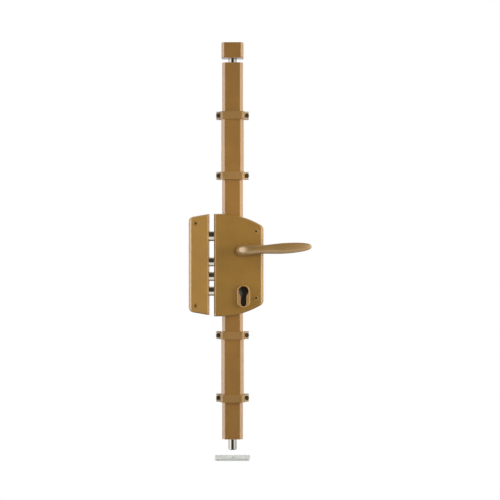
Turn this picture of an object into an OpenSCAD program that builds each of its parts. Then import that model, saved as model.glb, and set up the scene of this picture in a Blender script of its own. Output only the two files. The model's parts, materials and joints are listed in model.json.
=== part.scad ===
// Vertical rim lock: lock case, keeper, lever handle, two vertical rods in slim covers.
// X runs to the right, Z up, and the door face is the plane Y = 0, with the room at -Y.
// The origin is the axis of the profile cylinder hole, on the door face.

/* [Lock case] */
// Depth of the case from the door face
case_depth = 32; // [31:0.5:36]
// Cylinder axis to the case edge at the bolt side
cyl_to_edge = 51; // [50:0.5:54]
// Cylinder axis to the case edge at the handle side
cyl_to_right = 34; // [30:0.5:48]
// Latch bolt's axis up to the case's upper edge
latch_to_top = 38; // [36:0.5:50]
// Cylinder axis down to the case's lower edge
cyl_to_base = 43; // [40:0.5:48]
// Radius of the bowed upper and lower edges
bow_r = 136; // [125:1:160]
// Straight run of the upper and lower edges before the bow
bow_run = 11; // [8:1:16]
// Fillet where the bow meets the straight side
corner_r = 10; // [5:0.5:12]
// Sheet thickness of the covers
case_wall = 1.5; // [1.2:0.1:1.8]
// Sheet thickness of the back plate
plate_t = 1.5; // [1.2:0.1:1.8]
// Rounding of the front edge at the bolt side
round_left = 3; // [2:0.1:4]
// Rounding of the front edge at the far side
round_right = 4.3; // [3:0.1:6]
// Rounding of the front edge at the top and bottom
round_top = 1.8; // [1.6:0.1:3]

/* [Cylinder hole] */
// Radius of the round head of the profile hole
cyl_r = 8.75; // [8.6:0.05:8.9]
// Width of the profile hole's stem
stem_w = 10; // [9.8:0.1:10.4]
// Cylinder axis to the foot of the stem
stem_foot = 25.5; // [24.5:0.1:26.5]
// Width of the raised rosette
rosette_w = 22.8; // [22:0.2:26]
// Height of the raised rosette
rosette_h = 39; // [38:0.2:42]
// How far the rosette stands out of the case
rosette_t = 4; // [3:0.2:6]
// Rounding of the rosette's outer rim
rosette_rim = 1.6; // [1:0.1:1.8]

/* [Handle] */
// Spindle axis above the cylinder axis
spindle_z = 70; // [69:0.5:72]
// Side of the square spindle
spindle_w = 8; // [7:0.5:8]
// Spindle axis to the lever's tip
lever_l = 115; // [105:1:130]
// Lever's centre line in front of the case
lever_out = 25; // [24:0.5:30]
// Height of the lever's neck
neck_h = 18.6; // [17:0.2:20]
// Height of the lever at its waist
waist_h = 13.5; // [12:0.2:15]
// Greatest height of the blade
blade_h = 18.5; // [16:0.2:20]
// Thickness of the blade
blade_t = 9.5; // [8:0.2:11]
// How far the tip sits above the spindle axis
tip_rise = 6; // [2:0.2:8]
// How far the blade curves back towards the door at the tip
tip_back = 7; // [3:0.5:9]
// Turn of the handle, in degrees
handle_turn = 40; // [30:1:40]

/* [Bolts] */
// Diameter of the deadbolts
bolt_d = 16; // [15:0.1:16]
// Diameter of the latch bolt
latch_d = 17.5; // [16.5:0.1:17.6]
// Height spacing of the three deadbolts, from the cylinder axis up
bolt_pitch = 25; // [24.8:0.1:25.2]
// Latch bolt above the cylinder axis
latch_z = 94; // [93.6:0.1:94.2]
// Throw of the deadbolts and of both rods
throw = 18; // [15:0.5:18]
// Travel of the latch bolt
latch_travel = 12; // [10:0.5:12]
// Length of a deadbolt
bolt_l = 40; // [39:0.5:41]
// Radius of the spigot that rivets a deadbolt to the carriage
spigot_r = 3; // [2.5:0.1:3.5]

/* [Gearing] */
// Tooth module of the pinion and its racks
gear_m = 1.25; // [1.2:0.01:1.25]
// Height of the pinion above the cylinder axis
pinion_z = 37.5; // [37:0.1:38]
// Thickness of the rack bars
bar_t = 4; // [3:0.1:4.2]
// Thickness of the bolt carriage
carriage_t = 3; // [2.5:0.1:3.2]
// Width of a rack bar beside its teeth
bar_w = 6; // [5:0.1:6]
// Width of a rack bar where it joins its rod
lap_w = 12; // [10:0.2:13]

/* [Rods] */
// Diameter of the rods
rod_d = 14; // [12:0.2:14]
// Rod axis to the cylinder axis, towards the bolt side
rod_x = 18.9; // [18.6:0.1:19.2]
// Upper edge of the upper rod cover above the cylinder axis
upper_end = 390.9; // [380:1:400]
// Lower edge of the lower rod cover below the cylinder axis
lower_end = 253.6; // [245:1:265]
// Centre of the upper far guide above the cylinder axis
guide_far_up = 300.7; // [290:1:310]
// Centre of the upper near guide above the cylinder axis
guide_near_up = 197.5; // [185:1:210]
// Centre of the lower near guide below the cylinder axis
guide_near_down = 76; // [72:1:90]
// Centre of the lower far guide below the cylinder axis
guide_far_down = 183.5; // [170:1:195]

/* [Rod covers] */
// Width of a rod cover
cover_w = 35.6; // [34:0.2:37]
// Width of the flat front of a rod cover
cover_front = 25; // [22:0.5:27]
// Depth of a rod cover from the door face
cover_depth = 20; // [19.6:0.2:22]
// Sheet thickness of the rod covers and sleeves
cover_wall = 1.2; // [1:0.1:1.4]
// Length of a guide along the rod
guide_l = 13.5; // [12:0.5:16]
// Wall of a guide's saddle over the sleeve
guide_wall = 1.8; // [1.4:0.1:2.4]
// Width of a guide over its ears
guide_w = 56.5; // [55:0.5:60]
// Distance between a guide's two screws
guide_screws_x = 49; // [48:0.5:50]
// Height of a guide's ears above the door face
ear_t = 11; // [8:0.5:12]

/* [Keepers] */
// Gap between the case and the keeper
keeper_gap = 7.3; // [6:0.1:8]
// Width of the keeper
keeper_w = 35; // [34:0.5:40]
// Height of the keeper at its bolt side
keeper_h = 173; // [170:1:176]
// Slope of the keeper's upper and lower edges, in degrees
keeper_slope = 10; // [5:1:14]
// Radius of the keeper's outer corners
keeper_r = 9; // [6:0.5:12]
// Gap between the upper rod cover and the top keeper
top_gap = 7.3; // [6:0.1:9]
// Height of the top keeper
top_h = 26.6; // [24:0.2:32]
// Width of the top keeper
top_w = 37.6; // [36:0.2:42]
// Depth of the top keeper from the door face
top_depth = 25; // [23:0.5:28]
// Floor plate below the lower pin's tip
floor_gap = 12.6; // [5:0.2:20]
// Width of the floor plate
floor_w = 60; // [56:1:70]
// Depth of the floor plate
floor_d = 46; // [44:1:56]
// Thickness of the floor plate
floor_t = 3.5; // [3:0.1:5]

/* [Fasteners] */
// Diameter of the cover screws' heads
screw_head_d = 9; // [8:0.2:10]
// Diameter of the cover screws
screw_d = 4; // [3.5:0.1:4.2]
// Diameter of the guide screws' heads
guide_head_d = 7; // [6.4:0.2:7.4]
// Diameter of the fixing holes for screws into the door and frame
fixing_d = 4.5; // [4:0.1:5]

/* [Hidden] */
$fn = 64;

// Clearances: turning and sliding fits, seated sheet, parts that pass each other, bolt holes
run_fit = 0.05;
seat_fit = 0.15;
layer_gap = 0.5;
hole_gap = 0.5;
eps = 0.01;

// Finishes
bronze = "#8f6d3a";
bronze_light = "#9e7e4b";
bright_steel = "#c9c9cb";
zinc = "#b9bab6";
dark_steel = "#3b3834";
nylon = "#d8d5cc";

// Case corners and the axes inside it
case_left = -cyl_to_edge;
case_right = cyl_to_right;
case_foot = -cyl_to_base;
case_top = latch_z + latch_to_top;
bow_x = case_left + bow_run;
pinion_x = case_left / 2;
rod_axis = -rod_x;
flange_x = case_left + case_wall + seat_fit;

// Layers from the door face towards the room: the spare depth is shared out behind the bars, before
// the latch and as the rim that the bolt flange has round it
bolt_seat = 1;
case_ceiling = -case_depth + case_wall;
works_depth = bar_t + layer_gap + carriage_t + bolt_d / 2 - bolt_seat + latch_d / 2;
spare_depth = case_depth - case_wall - plate_t - works_depth;
bar_back = -plate_t - spare_depth * 6 / 23;
bar_front = bar_back - bar_t;
carriage_back = bar_front - layer_gap;
carriage_front = carriage_back - carriage_t;
bolt_y = carriage_front - bolt_d / 2 + bolt_seat;
flange_front = bolt_y - latch_d / 2 - spare_depth * 5 / 23;
rod_back = 2.3;
rod_y = -rod_d / 2 - cover_wall - rod_back;

// Gearing
pinion_teeth = 12;
pitch = PI * gear_m;
pinion_r = gear_m * pinion_teeth / 2;
pressure = 20;
base_r = pinion_r * cos(pressure);
tip_r = pinion_r + gear_m;
rack_add = 0.6 * gear_m;
rack_ded = 1.25 * gear_m;
backlash = 0.12;
flank_steps = 5;
stud_r = 3;
guide_stud_r = 2;
stud_head_r = 4;
stud_head_t = 1.5;

// Carriage: its edges at rest, with the bolts thrown
carriage_left = flange_x + plate_t + layer_gap;
carriage_right = -cyl_r + layer_gap - 0.25;
carriage_low_right = -cyl_r - throw - 2 * layer_gap;
carriage_foot = -bolt_d / 2;
carriage_top = 2 * bolt_pitch + bolt_d / 2;
slot_low = pinion_z - tip_r - 0.6;
slot_high = pinion_z + pinion_r + rack_ded;
slot_end = pinion_x + tip_r + 0.6;
arm_foot = cyl_r + 1.75;
arm_top = arm_foot + 11.5;
cam_pitch = throw / 2;
cam_w = 5.5;
cam_depth = 6;
guide_stud_z = bolt_pitch / 2;
bolt_tip = case_left - throw - layer_gap;
spigot_x = (carriage_left + carriage_low_right) / 2;

// Follower and latch
follower_r = 10;
journal_r = 8;
arm_end_r = 4;
arm_reach = latch_travel / (handle_turn * PI / 180);
finger_gap = 0.3;
finger_w = 5;
tail_t = 4;
tail_h = 5.7;
tail_z = latch_z - 2.5;
tail_end = arm_end_r + finger_gap + finger_w;
finger_foot = spindle_z + follower_r + layer_gap;
latch_tip = case_left - latch_travel - layer_gap;
latch_head_l = latch_travel + case_wall + plate_t + layer_gap + 12;
latch_slant = 7.5;
spring_arm = 15.5;
spring_arm_r = 3.5;
latch_spring_z = 87;
spring_lug_x = case_right - 6;
spring_lug_z = 44;
coil_r = 3;
wire_r = 0.6;
peg_r = 1.8;
peg_l = 4;
guide_block_x = -9.8;

// Handle bush, neck and blade, and the screw that holds the spindle
bush_r = 11;
bush_flange_r = 12.6;
bush_flange_t = 1.6;
neck_start = -case_depth - bush_flange_t - 0.3;
neck_boss = -case_depth + case_wall + 1;
spindle_end = -case_depth - lever_out + 7;
elbow_r = 13;
elbow_y = -case_depth - lever_out + elbow_r;
elbow_bulge = 2.8;
elbow_half_t = neck_h / 2 - 2.2;
waist_x = 21;
broad_x = 0.62 * lever_l;
blade_sides = 28;
grub_y = (neck_start + elbow_y) / 2;
grub_r = 2.5;

// Rods, laps and covers
lap_l = 23;
upper_lap = case_top - 10;
lower_lap = case_foot + 15;
cover_in = 8;
upper_pin_tip = upper_end + top_gap + throw - 1.2;
lower_pin_tip = -lower_end - throw - 0.4;
pin_chamfer = 1.2;
lap_screw_r = 2.5;
lap_head_r = 4.2;
lap_head_t = 2.5;
sleeve_lap = guide_l / 2 - 3;
cover_lap = guide_l / 2 + 0.75;
bush_l = 12;
sleeve_w = cover_w + 2 * (cover_wall + seat_fit);
sleeve_depth = cover_depth + cover_wall + seat_fit;
sleeve_front = cover_front + cover_wall;

// Screw places
post_r = 4;
pilot_r = screw_d / 2 - 0.3;
screw_hole_r = screw_d / 2 + 0.25;
screw_l = 9;
screw_rim = 0.7;
screw_dome = 1.6;
cross_w = 1.2;
cross_sink = 1.1;
screw_in = 1.4;
screw_drop = 30.1;
screw_rise = 31.4;
case_screw_x = (rosette_w / 2 + case_right) / 2 - screw_in;
case_screws = [[case_screw_x, case_top - screw_drop], [case_screw_x, case_foot + screw_rise]];
fixing_in = 8;
fixing_left_in = 15;
fixing_right = case_right - fixing_in;
fixing_left = case_left + fixing_left_in;
fixing_low = 26;
fixing_high = 4;
fixing_drop = 16;
fixing_pitch = 42;
fixing_right_z = [case_foot + fixing_low, spindle_z - fixing_high];
fixing_left_z = [case_top - fixing_drop - fixing_pitch, case_top - fixing_drop];

// Keeper and the pieces past the rods' ends
keeper_right = case_left - keeper_gap;
keeper_left = keeper_right - keeper_w;
keeper_top = case_top;
keeper_foot = keeper_top - keeper_h;
strike_x = keeper_right - case_wall - 2 * seat_fit - plate_t;
keeper_round_left = 5;
keeper_round_right = 2;
keeper_round_top = 2;
keeper_screws = [[keeper_left + 11.9, keeper_top - 16.6], [keeper_left + 11.9, keeper_foot + 16.3]];
keeper_fixing_x = keeper_left + 11.4;
keeper_fixing_z = [12, 75];
top_foot = upper_end + top_gap;
socket_r = rod_d / 2 + hole_gap;
top_bevel = 4.5;
floor_top = lower_pin_tip - floor_gap;
floor_hole_x = 40;
floor_hole_y = 33;

// A flat shape drawn in X and Z, from depth y towards the room
module facing(y, t) translate([0, y, 0]) rotate([90, 0, 0]) linear_extrude(t) children();

// A round bar or hole from the point [x, y, z] towards the room
module rod_out(p, r, l) translate(p) rotate([90, 0, 0]) cylinder(r = r, h = l);

// A round bar or hole from the point [x, y, z] to the right
module rod_right(p, r, l) translate(p) rotate([0, 90, 0]) cylinder(r = r, h = l);

// A box between two corners
module between(a, b) translate(a) cube(b - a);

function arc(c, r, from, to, n) = [for (i = [0:n]) let (a = from + (to - from) * i / n)
    [c[0] + r * cos(a), c[1] + r * sin(a)]];

// Outline of the case with its left, right and upper edges moved in
function case_points(left, right, top) =
    let (f = max(2, corner_r - max(right, top)),
        reach = bow_r - top - f,
        fx = case_right - right - f,
        b = acos((fx - bow_x) / reach),
        low = case_foot + bow_r,
        high = case_top - bow_r)
    concat([[case_left + left, case_foot + top]],
        arc([bow_x, low], bow_r - top, -90, -b, 12),
        arc([fx, low - reach * sin(b)], f, -b, 0, 6),
        arc([fx, high + reach * sin(b)], f, 0, b, 6),
        arc([bow_x, high], bow_r - top, b, 90, 12),
        [[case_left + left, case_top - top]]);

// Outline of the keeper with its left, right and upper edges moved in
function keeper_points(left, right, top) =
    let (f = max(2, keeper_r - max(left, top)),
        cx = keeper_left + left + f,
        fall = (keeper_right - cx) * tan(keeper_slope) + (top + f) / cos(keeper_slope),
        side = right * tan(keeper_slope) + top / cos(keeper_slope))
    concat([[keeper_right - right, keeper_foot + side], [keeper_right - right, keeper_top - side]],
        arc([cx, keeper_top - fall], f, 90 + keeper_slope, 180, 6),
        arc([cx, keeper_foot + fall], f, 180, 270 - keeper_slope, 6));

// Section of a folded channel, as [x, depth]
function channel(w, front, depth) = let (s = (w - front) / 2)
    [[-w / 2, 0], [-w / 2, -(depth - s)], [-front / 2, -depth],
        [front / 2, -depth], [w / 2, -(depth - s)], [w / 2, 0]];

module channel_between(w, front, depth, low, high)
    translate([rod_axis, 0, low]) linear_extrude(high - low) polygon(channel(w, front, depth));

// Profile hole for the cylinder
module profile_hole() {
    circle(r = cyl_r);
    translate([-stem_w / 2, -stem_foot + stem_w / 2]) square([stem_w, stem_foot - stem_w / 2]);
    translate([0, -stem_foot + stem_w / 2]) circle(d = stem_w);
}

// The four bolt axes as [height, radius]
bolts = [[0, bolt_d / 2], [bolt_pitch, bolt_d / 2], [2 * bolt_pitch, bolt_d / 2], [latch_z, latch_d / 2]];

module bolt_holes(x, l, gap)
    for (b = bolts) rod_right([x, bolt_y, b[0]], b[1] + gap, l);

// Half angle of a pinion tooth at radius r, in degrees
function flank(r) = let (a = acos(min(1, base_r / r)))
    90 / pinion_teeth - backlash / 2 / pinion_r * 180 / PI
        + (tan(pressure) - tan(a)) * 180 / PI - pressure + a;

function tooth(at) = concat(
    [[pinion_r - rack_ded, at - flank(base_r)]],
    [for (i = [0:flank_steps]) let (r = base_r + (tip_r - base_r) * i / flank_steps) [r, at - flank(r)]],
    [for (i = [flank_steps:-1:0]) let (r = base_r + (tip_r - base_r) * i / flank_steps) [r, at + flank(r)]],
    [[pinion_r - rack_ded, at + flank(base_r)]]);

// Rack teeth that point to -X, with the pitch line on X = 0 and a gap centred on Y = 0
module rack_teeth(from, to)
    for (k = [from:to - 1]) translate([0, (k + 0.5) * pitch]) {
        half = pitch / 4 - backlash / 2;
        root = half + rack_ded * tan(pressure);
        crest = half - rack_add * tan(pressure);
        polygon([[rack_ded + eps, -root], [rack_ded + eps, root], [-rack_add, crest], [-rack_add, -crest]]);
    }

rack_ahead = ceil(throw / pitch) + 1;
rack_behind = 2;

// A round wire wound along +Z, between two levels
function coil_point(u, turns, l) = let (a = 360 * turns * u)
    [coil_r * cos(a), coil_r * sin(a), wire_r + (l - 2 * wire_r) * u];
function coil_rings(turns, l, n, sides) = [for (i = [0:n]) let (
        c = coil_point(i / n, turns, l), a = 360 * turns * i / n)
    for (k = [0:sides - 1]) let (b = 360 * k / sides)
        [c[0] + wire_r * cos(b) * cos(a), c[1] + wire_r * cos(b) * sin(a), c[2] + wire_r * sin(b)]];

module coil(turns, l) {
    sides = 6;
    n = turns * 10;
    polyhedron(coil_rings(turns, l, n, sides), concat(
        [[for (k = [0:sides - 1]) k]],
        [[for (k = [sides - 1:-1:0]) n * sides + k]],
        [for (i = [0:n - 1]) for (k = [0:sides - 1]) let (j = (k + 1) % sides)
            for (t = [[i * sides + k, (i + 1) * sides + k, (i + 1) * sides + j],
                [i * sides + k, (i + 1) * sides + j, i * sides + j]]) t]), convexity = 8);
}

// Box from depth back to depth front whose front edges are rounded, each side by its own amount
module rounded_box(back, front, outline_of, rounding, steps) {
    levels = concat([[back, 0]], [for (i = [0:steps]) let (a = 90 * i / steps)
        [front + rounding * (1 - sin(a)), 1 - cos(a)]]);
    n = len(outline_of(0));
    last = len(levels) - 1;
    polyhedron([for (l = levels) for (p = outline_of(l[1])) [p[0], l[0], p[1]]], concat(
        [[for (k = [0:n - 1]) k]],
        [[for (k = [n - 1:-1:0]) last * n + k]],
        [for (i = [0:last - 1]) for (k = [0:n - 1]) let (j = (k + 1) % n)
            for (t = [[i * n + k, (i + 1) * n + k, (i + 1) * n + j], [i * n + k, (i + 1) * n + j, i * n + j]]) t]));
}

module back_plate() color(zinc) difference() {
    inset = case_wall + seat_fit;
    union() {
        facing(0, plate_t) polygon(case_points(inset, inset, inset));
        between([flange_x, flange_front, case_foot + 5], [flange_x + plate_t, 0, case_top - 5]);
        for (p = case_screws) rod_out([p[0], 0, p[1]], post_r, -case_ceiling);
        between([spring_lug_x, bolt_y - 5, latch_spring_z - 5], [spring_lug_x + 2, 0, latch_spring_z + 5]);
        rod_right([spring_lug_x - peg_l, bolt_y, latch_spring_z], peg_r, peg_l + 1);
        between([spring_arm - 4, bolt_y - 5, spring_lug_z - 2], [spring_arm + 4, 0, spring_lug_z]);
        translate([spring_arm, bolt_y, spring_lug_z - 1]) cylinder(r = peg_r, h = peg_l + 1);
    }
    bolt_holes(flange_x - 1, plate_t + 2, run_fit);
    facing(1, case_depth) profile_hole();
    rod_out([0, 1, spindle_z], journal_r + run_fit, plate_t + 2);
    rod_out([pinion_x, 1, pinion_z], stud_r + eps, plate_t + 2);
    rod_out([pinion_x, 1, guide_stud_z], guide_stud_r + eps, plate_t + 2);
    for (z = fixing_right_z) rod_out([fixing_right, 1, z], fixing_d / 2, plate_t + 2);
    for (z = fixing_left_z) rod_out([fixing_left, 1, z], fixing_d / 2, plate_t + 2);
    for (p = case_screws) pilot_hole(p);
    rod_cover_mouths();
}

// Hole for a cover screw in its post
module pilot_hole(p) rod_out([p[0], -case_depth + screw_l + 2 * case_wall, p[1]], pilot_r, screw_l + 2 * case_wall);

// Where the near rod covers run into the case
module rod_cover_mouths() {
    w = cover_w + 2 * seat_fit;
    for (z = [case_foot - 10, case_top - cover_in - seat_fit])
        translate([0, 0.5, 0])
            channel_between(w, cover_front + seat_fit, cover_depth + seat_fit + 0.5, z, z + 10 + cover_in + seat_fit);
}

module case_cover() color(bronze) difference() {
    inset = case_wall;
    rounded_box(0, -case_depth, function (k) case_points(round_left * k, round_right * k, round_top * k),
        round_right, 6);
    rounded_box(1, case_ceiling,
        function (k) case_points(inset + round_left * k, inset + round_right * k, inset + round_top * k),
        round_right, 5);
    bolt_holes(case_left - 1, case_wall + 2, hole_gap);
    facing(1, case_depth + 2) profile_hole();
    rod_out([0, 1, spindle_z], bush_r, case_depth + 2);
    for (p = case_screws) rod_out([p[0], 1, p[1]], screw_hole_r, case_depth + 2);
    rod_cover_mouths();
}

module cylinder_rosette() color(bronze_light) difference() {
    r = rosette_w / 2;
    low = -rosette_h + r + rosette_head;
    hull() for (z = [rosette_head - r, low]) translate([0, -case_depth, z]) rotate([90, 0, 0])
        rotate_extrude($fn = 48) polygon(concat([[0, 0], [r, 0]],
            arc([r - rosette_rim, rosette_t - rosette_rim], rosette_rim, 0, 90, 4), [[0, rosette_t]]));
    facing(-case_depth + 1, rosette_t + 2) profile_hole();
}
// Top of the rosette above the cylinder axis
rosette_head = 10.8;

// A cross-recessed screw with a domed head on the cover's front
module cover_screw(p) {
    head = screw_head_d / 2;
    difference() {
        union() {
            translate([p[0], -case_depth, p[1]]) rotate([90, 0, 0]) rotate_extrude()
                polygon(concat([[0, 0], [head, 0]], [for (a = [0:18:90])
                    [head * cos(a), screw_rim + (screw_dome - screw_rim) * sin(a)]]));
            rod_out([p[0], screw_l - case_depth, p[1]], pilot_r, screw_l + eps);
        }
        for (a = [0, 90]) translate([p[0], -case_depth - cross_sink, p[1]]) rotate([90, a, 0])
            translate([-head * 0.55, -cross_w / 2, 0]) cube([head * 1.1, cross_w, screw_dome]);
    }
}

module case_cover_screws() color(bronze) for (p = case_screws) cover_screw(p);

function blend(u) = (1 - cos(180 * min(1, max(0, u)))) / 2;
function mix(a, b, u) = a + (b - a) * u;

// Lever: rings of an ellipse go out along the neck, round the elbow and down the blade. A station is
// [x, y, heading of the outward normal, half height, half thickness]
function neck_station(u) = [0, mix(neck_start, elbow_y, u), 180, neck_h / 2, neck_h / 2 + elbow_bulge * blend(u)];
function elbow_station(u) = [elbow_r - elbow_r * cos(90 * u), elbow_y - elbow_r * sin(90 * u), 180 + 90 * u,
    half_height(elbow_r * u * u), mix(neck_h / 2 + elbow_bulge, elbow_half_t, blend(u))];
function to_tip(x) = max(0, 1 - pow((x - broad_x) / (lever_l - broad_x), 1.8));
function half_height(x) =
    x < waist_x ? mix(neck_h, waist_h, blend(x / waist_x)) / 2
    : x < broad_x ? mix(waist_h, blade_h, blend((x - waist_x) / (broad_x - waist_x))) / 2
    : blade_h / 2 * pow(to_tip(x), 0.34);
function half_thickness(x) =
    x < broad_x ? mix(elbow_half_t, blade_t / 2, blend((x - elbow_r) / (broad_x - elbow_r)))
    : blade_t / 2 * pow(to_tip(x), 0.4);
function blade_station(x) = let (u = (x - elbow_r) / (lever_l - elbow_r))
    [x, elbow_y - elbow_r + tip_back * u * u, 270, max(0.4, half_height(x)), max(0.3, half_thickness(x))];
function rise(x) = tip_rise * pow(max(0, x) / lever_l, 1.3);
blade_xs = [for (i = [1:32]) elbow_r + (lever_l - elbow_r) * (1 - pow(1 - i / 32, 2))];
lever_stations = concat([for (i = [0:3]) neck_station(i / 4)],
    [for (i = [0:9]) elbow_station(i / 9)], [for (x = blade_xs) blade_station(x)]);
function ring(s) = [for (k = [0:blade_sides - 1]) let (a = 360 * k / blade_sides)
    [s[0] + s[4] * cos(a) * cos(s[2]), s[1] + s[4] * cos(a) * sin(s[2]), spindle_z + rise(s[0]) + s[3] * sin(a)]];

module lever() {
    last = len(lever_stations) - 1;
    polyhedron([for (s = lever_stations) each ring(s)], concat(
        [[for (k = [blade_sides - 1:-1:0]) k]],
        [[for (k = [0:blade_sides - 1]) last * blade_sides + k]],
        [for (i = [0:last - 1]) for (k = [0:blade_sides - 1]) let (j = (k + 1) % blade_sides)
            for (t = [[i * blade_sides + k, i * blade_sides + j, (i + 1) * blade_sides + j],
                [i * blade_sides + k, (i + 1) * blade_sides + j, (i + 1) * blade_sides + k]]) t]), convexity = 6);
}

module handle() color(bronze_light) difference() {
    union() {
        lever();
        rod_out([0, neck_boss, spindle_z], neck_h / 2 - 0.3, neck_boss - neck_start + 1);
    }
    side = spindle_w / 2 + run_fit;
    between([-side, spindle_end - 0.5, spindle_z - side], [side, 1, spindle_z + side]);
    translate([0, grub_y, spindle_z - neck_h]) cylinder(r = grub_r + run_fit, h = neck_h);
}

module spindle() color(zinc)
    between([-spindle_w / 2, spindle_end, spindle_z - spindle_w / 2], [spindle_w / 2, -0.2, spindle_z + spindle_w / 2]);

module handle_grub_screw() color(dark_steel) translate([0, grub_y, spindle_z - neck_h / 2 + 0.6]) difference() {
    cylinder(r = grub_r, h = neck_h / 2 - 0.6 - spindle_w / 2);
    translate([0, 0, -1]) cylinder(r = 1.2, h = 3, $fn = 6);
}

module handle_bush() color(bronze) difference() {
    union() {
        rod_out([0, case_ceiling + 2, spindle_z], bush_r, case_wall + 2);
        rod_out([0, -case_depth, spindle_z], bush_flange_r, bush_flange_t);
    }
    rod_out([0, 0, spindle_z], journal_r + run_fit, case_depth);
    rod_out([0, neck_boss + 0.3, spindle_z], neck_h / 2 - 0.3 + run_fit, case_depth);
}

module follower() color(zinc) difference() {
    hub_back = carriage_back - 2.2;
    hub_front = case_ceiling + 2.5;
    union() {
        rod_out([0, -0.2, spindle_z], journal_r, -0.2 - neck_boss - 0.3);
        rod_out([0, hub_back, spindle_z], follower_r, hub_back - hub_front);
        facing(bolt_y + tail_t / 2, tail_t) translate([0, spindle_z]) {
            translate([0, arm_reach]) circle(r = arm_end_r);
            translate([-arm_end_r, 0]) square([2 * arm_end_r, arm_reach]);
            translate([spring_arm, 0]) circle(r = spring_arm_r);
            translate([0, -spring_arm_r]) square([spring_arm, 2 * spring_arm_r]);
        }
    }
    side = spindle_w / 2 + run_fit;
    between([-side, -case_depth, spindle_z - side], [side, 1, spindle_z + side]);
}

module handle_spring() color(bright_steel)
    translate([spring_arm, bolt_y, spring_lug_z]) coil(6, spindle_z - spring_arm_r - spring_lug_z);

module latch_spring() color(bright_steel)
    translate([tail_end, bolt_y, latch_spring_z]) rotate([0, 90, 0]) coil(5, spring_lug_x - tail_end);

// Latch bolt: round head with a slanted nose, flat tail and the finger that the follower pushes
module latch_bolt() color(bright_steel) difference() {
    head_end = latch_tip + latch_head_l;
    union() {
        rod_right([latch_tip, bolt_y, latch_z], latch_d / 2, latch_head_l);
        facing(bolt_y + tail_t / 2, tail_t) {
            translate([head_end - 1, tail_z]) square([tail_end - head_end + 1, tail_h]);
            translate([tail_end - finger_w, finger_foot]) square([finger_w, tail_z + tail_h - finger_foot]);
        }
    }
    translate([latch_tip, bolt_y + latch_d / 2, latch_z]) rotate([0, 0, 60])
        translate([-20, -latch_slant, -latch_d]) cube([40, 30, 2 * latch_d]);
}

module latch_guide() color(zinc) difference() {
    between([guide_block_x, bolt_y - tail_t, tail_z - 3], [guide_block_x + 4.8, -plate_t, tail_z + tail_h + 3]);
    between([guide_block_x - 1, bolt_y - tail_t / 2 - finger_gap, tail_z - finger_gap],
        [guide_block_x + 6, bolt_y + tail_t / 2 + finger_gap, tail_z + tail_h + finger_gap]);
}

module bolt_carriage() color(zinc) facing(carriage_back, carriage_t) intersection() {
    translate([carriage_left, carriage_foot]) square([200, 200]);
    union() {
        difference() {
            union() {
                translate([carriage_left, carriage_foot])
                    square([carriage_low_right - carriage_left, arm_foot - carriage_foot + 1]);
                translate([carriage_left, arm_foot]) square([carriage_right - carriage_left, carriage_top - arm_foot]);
                translate([carriage_right - 1, arm_foot]) square([2 - carriage_right + 1, arm_top - arm_foot]);
            }
            translate([carriage_left - 1, slot_low]) square([slot_end - carriage_left + 1, slot_high - slot_low]);
            for (x = [pinion_x - throw, pinion_x]) translate([x, guide_stud_z]) circle(r = guide_stud_r + 0.3);
            translate([pinion_x - throw, guide_stud_z - guide_stud_r - 0.3]) square([throw, 2 * guide_stud_r + 0.6]);
            for (n = [0, 1]) translate([-cam_pitch / 2 - n * cam_pitch - cam_w / 2, arm_foot - 1])
                square([cam_w, cam_depth + 1]);
            for (n = [0:2]) translate([spigot_x, n * bolt_pitch]) circle(r = spigot_r + run_fit);
        }
        translate([pinion_x, pinion_z + pinion_r]) rotate(90) rack_teeth(-rack_behind, rack_ahead);
    }
}

// Deadbolt: round bar with a flat that seats on the carriage, and a riveted spigot
module deadbolt(z) color(bright_steel) {
    flat_x = carriage_left - 0.3;
    difference() {
        rod_right([bolt_tip, bolt_y, z], bolt_d / 2, bolt_l);
        between([flat_x, carriage_front, z - bolt_d], [0, 0, z + bolt_d]);
        translate([bolt_tip, bolt_y, z]) rotate([0, 90, 0]) rotate_extrude()
            polygon([[bolt_d / 2 - 0.8, -1], [bolt_d / 2 + 1, -1], [bolt_d / 2 + 1, 1.8 - 1e-3], [bolt_d / 2 - 0.8, 0]]);
    }
    rod_out([spigot_x, carriage_back, z], spigot_r, carriage_t + 1);
}

module deadbolt_upper() deadbolt(2 * bolt_pitch);
module deadbolt_middle() deadbolt(bolt_pitch);
module deadbolt_lower() deadbolt(0);

// The pinion reaches from half way behind the bars to just inside the carriage's front
pinion_back = (bar_back - plate_t) / 2;
module pinion() color("#a8863f") facing(pinion_back, pinion_back - carriage_front - finger_gap)
    translate([pinion_x, pinion_z]) difference() {
        polygon([for (n = [0:pinion_teeth - 1]) for (p = tooth(360 * n / pinion_teeth))
            [p[0] * cos(p[1]), p[0] * sin(p[1])]]);
        circle(r = stud_r + run_fit);
    }

// A headed stud that is riveted into the back plate
module stud(z, r) {
    rod_out([pinion_x, 0, z], r, -carriage_front + 2 * run_fit);
    rod_out([pinion_x, carriage_front - run_fit, z], stud_head_r, stud_head_t);
}

module pinion_stud() color(dark_steel) stud(pinion_z, stud_r);
module carriage_stud() color(dark_steel) stud(guide_stud_z, guide_stud_r);

upper_bar_foot = pinion_z - (rack_behind - 0.25) * pitch;
lower_bar_top = pinion_z + (rack_behind - 0.25) * pitch;
upper_jog = pinion_z + tip_r + throw + 1.8;
lower_jog = lower_lap + 8;
jog_h = 8;

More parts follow.
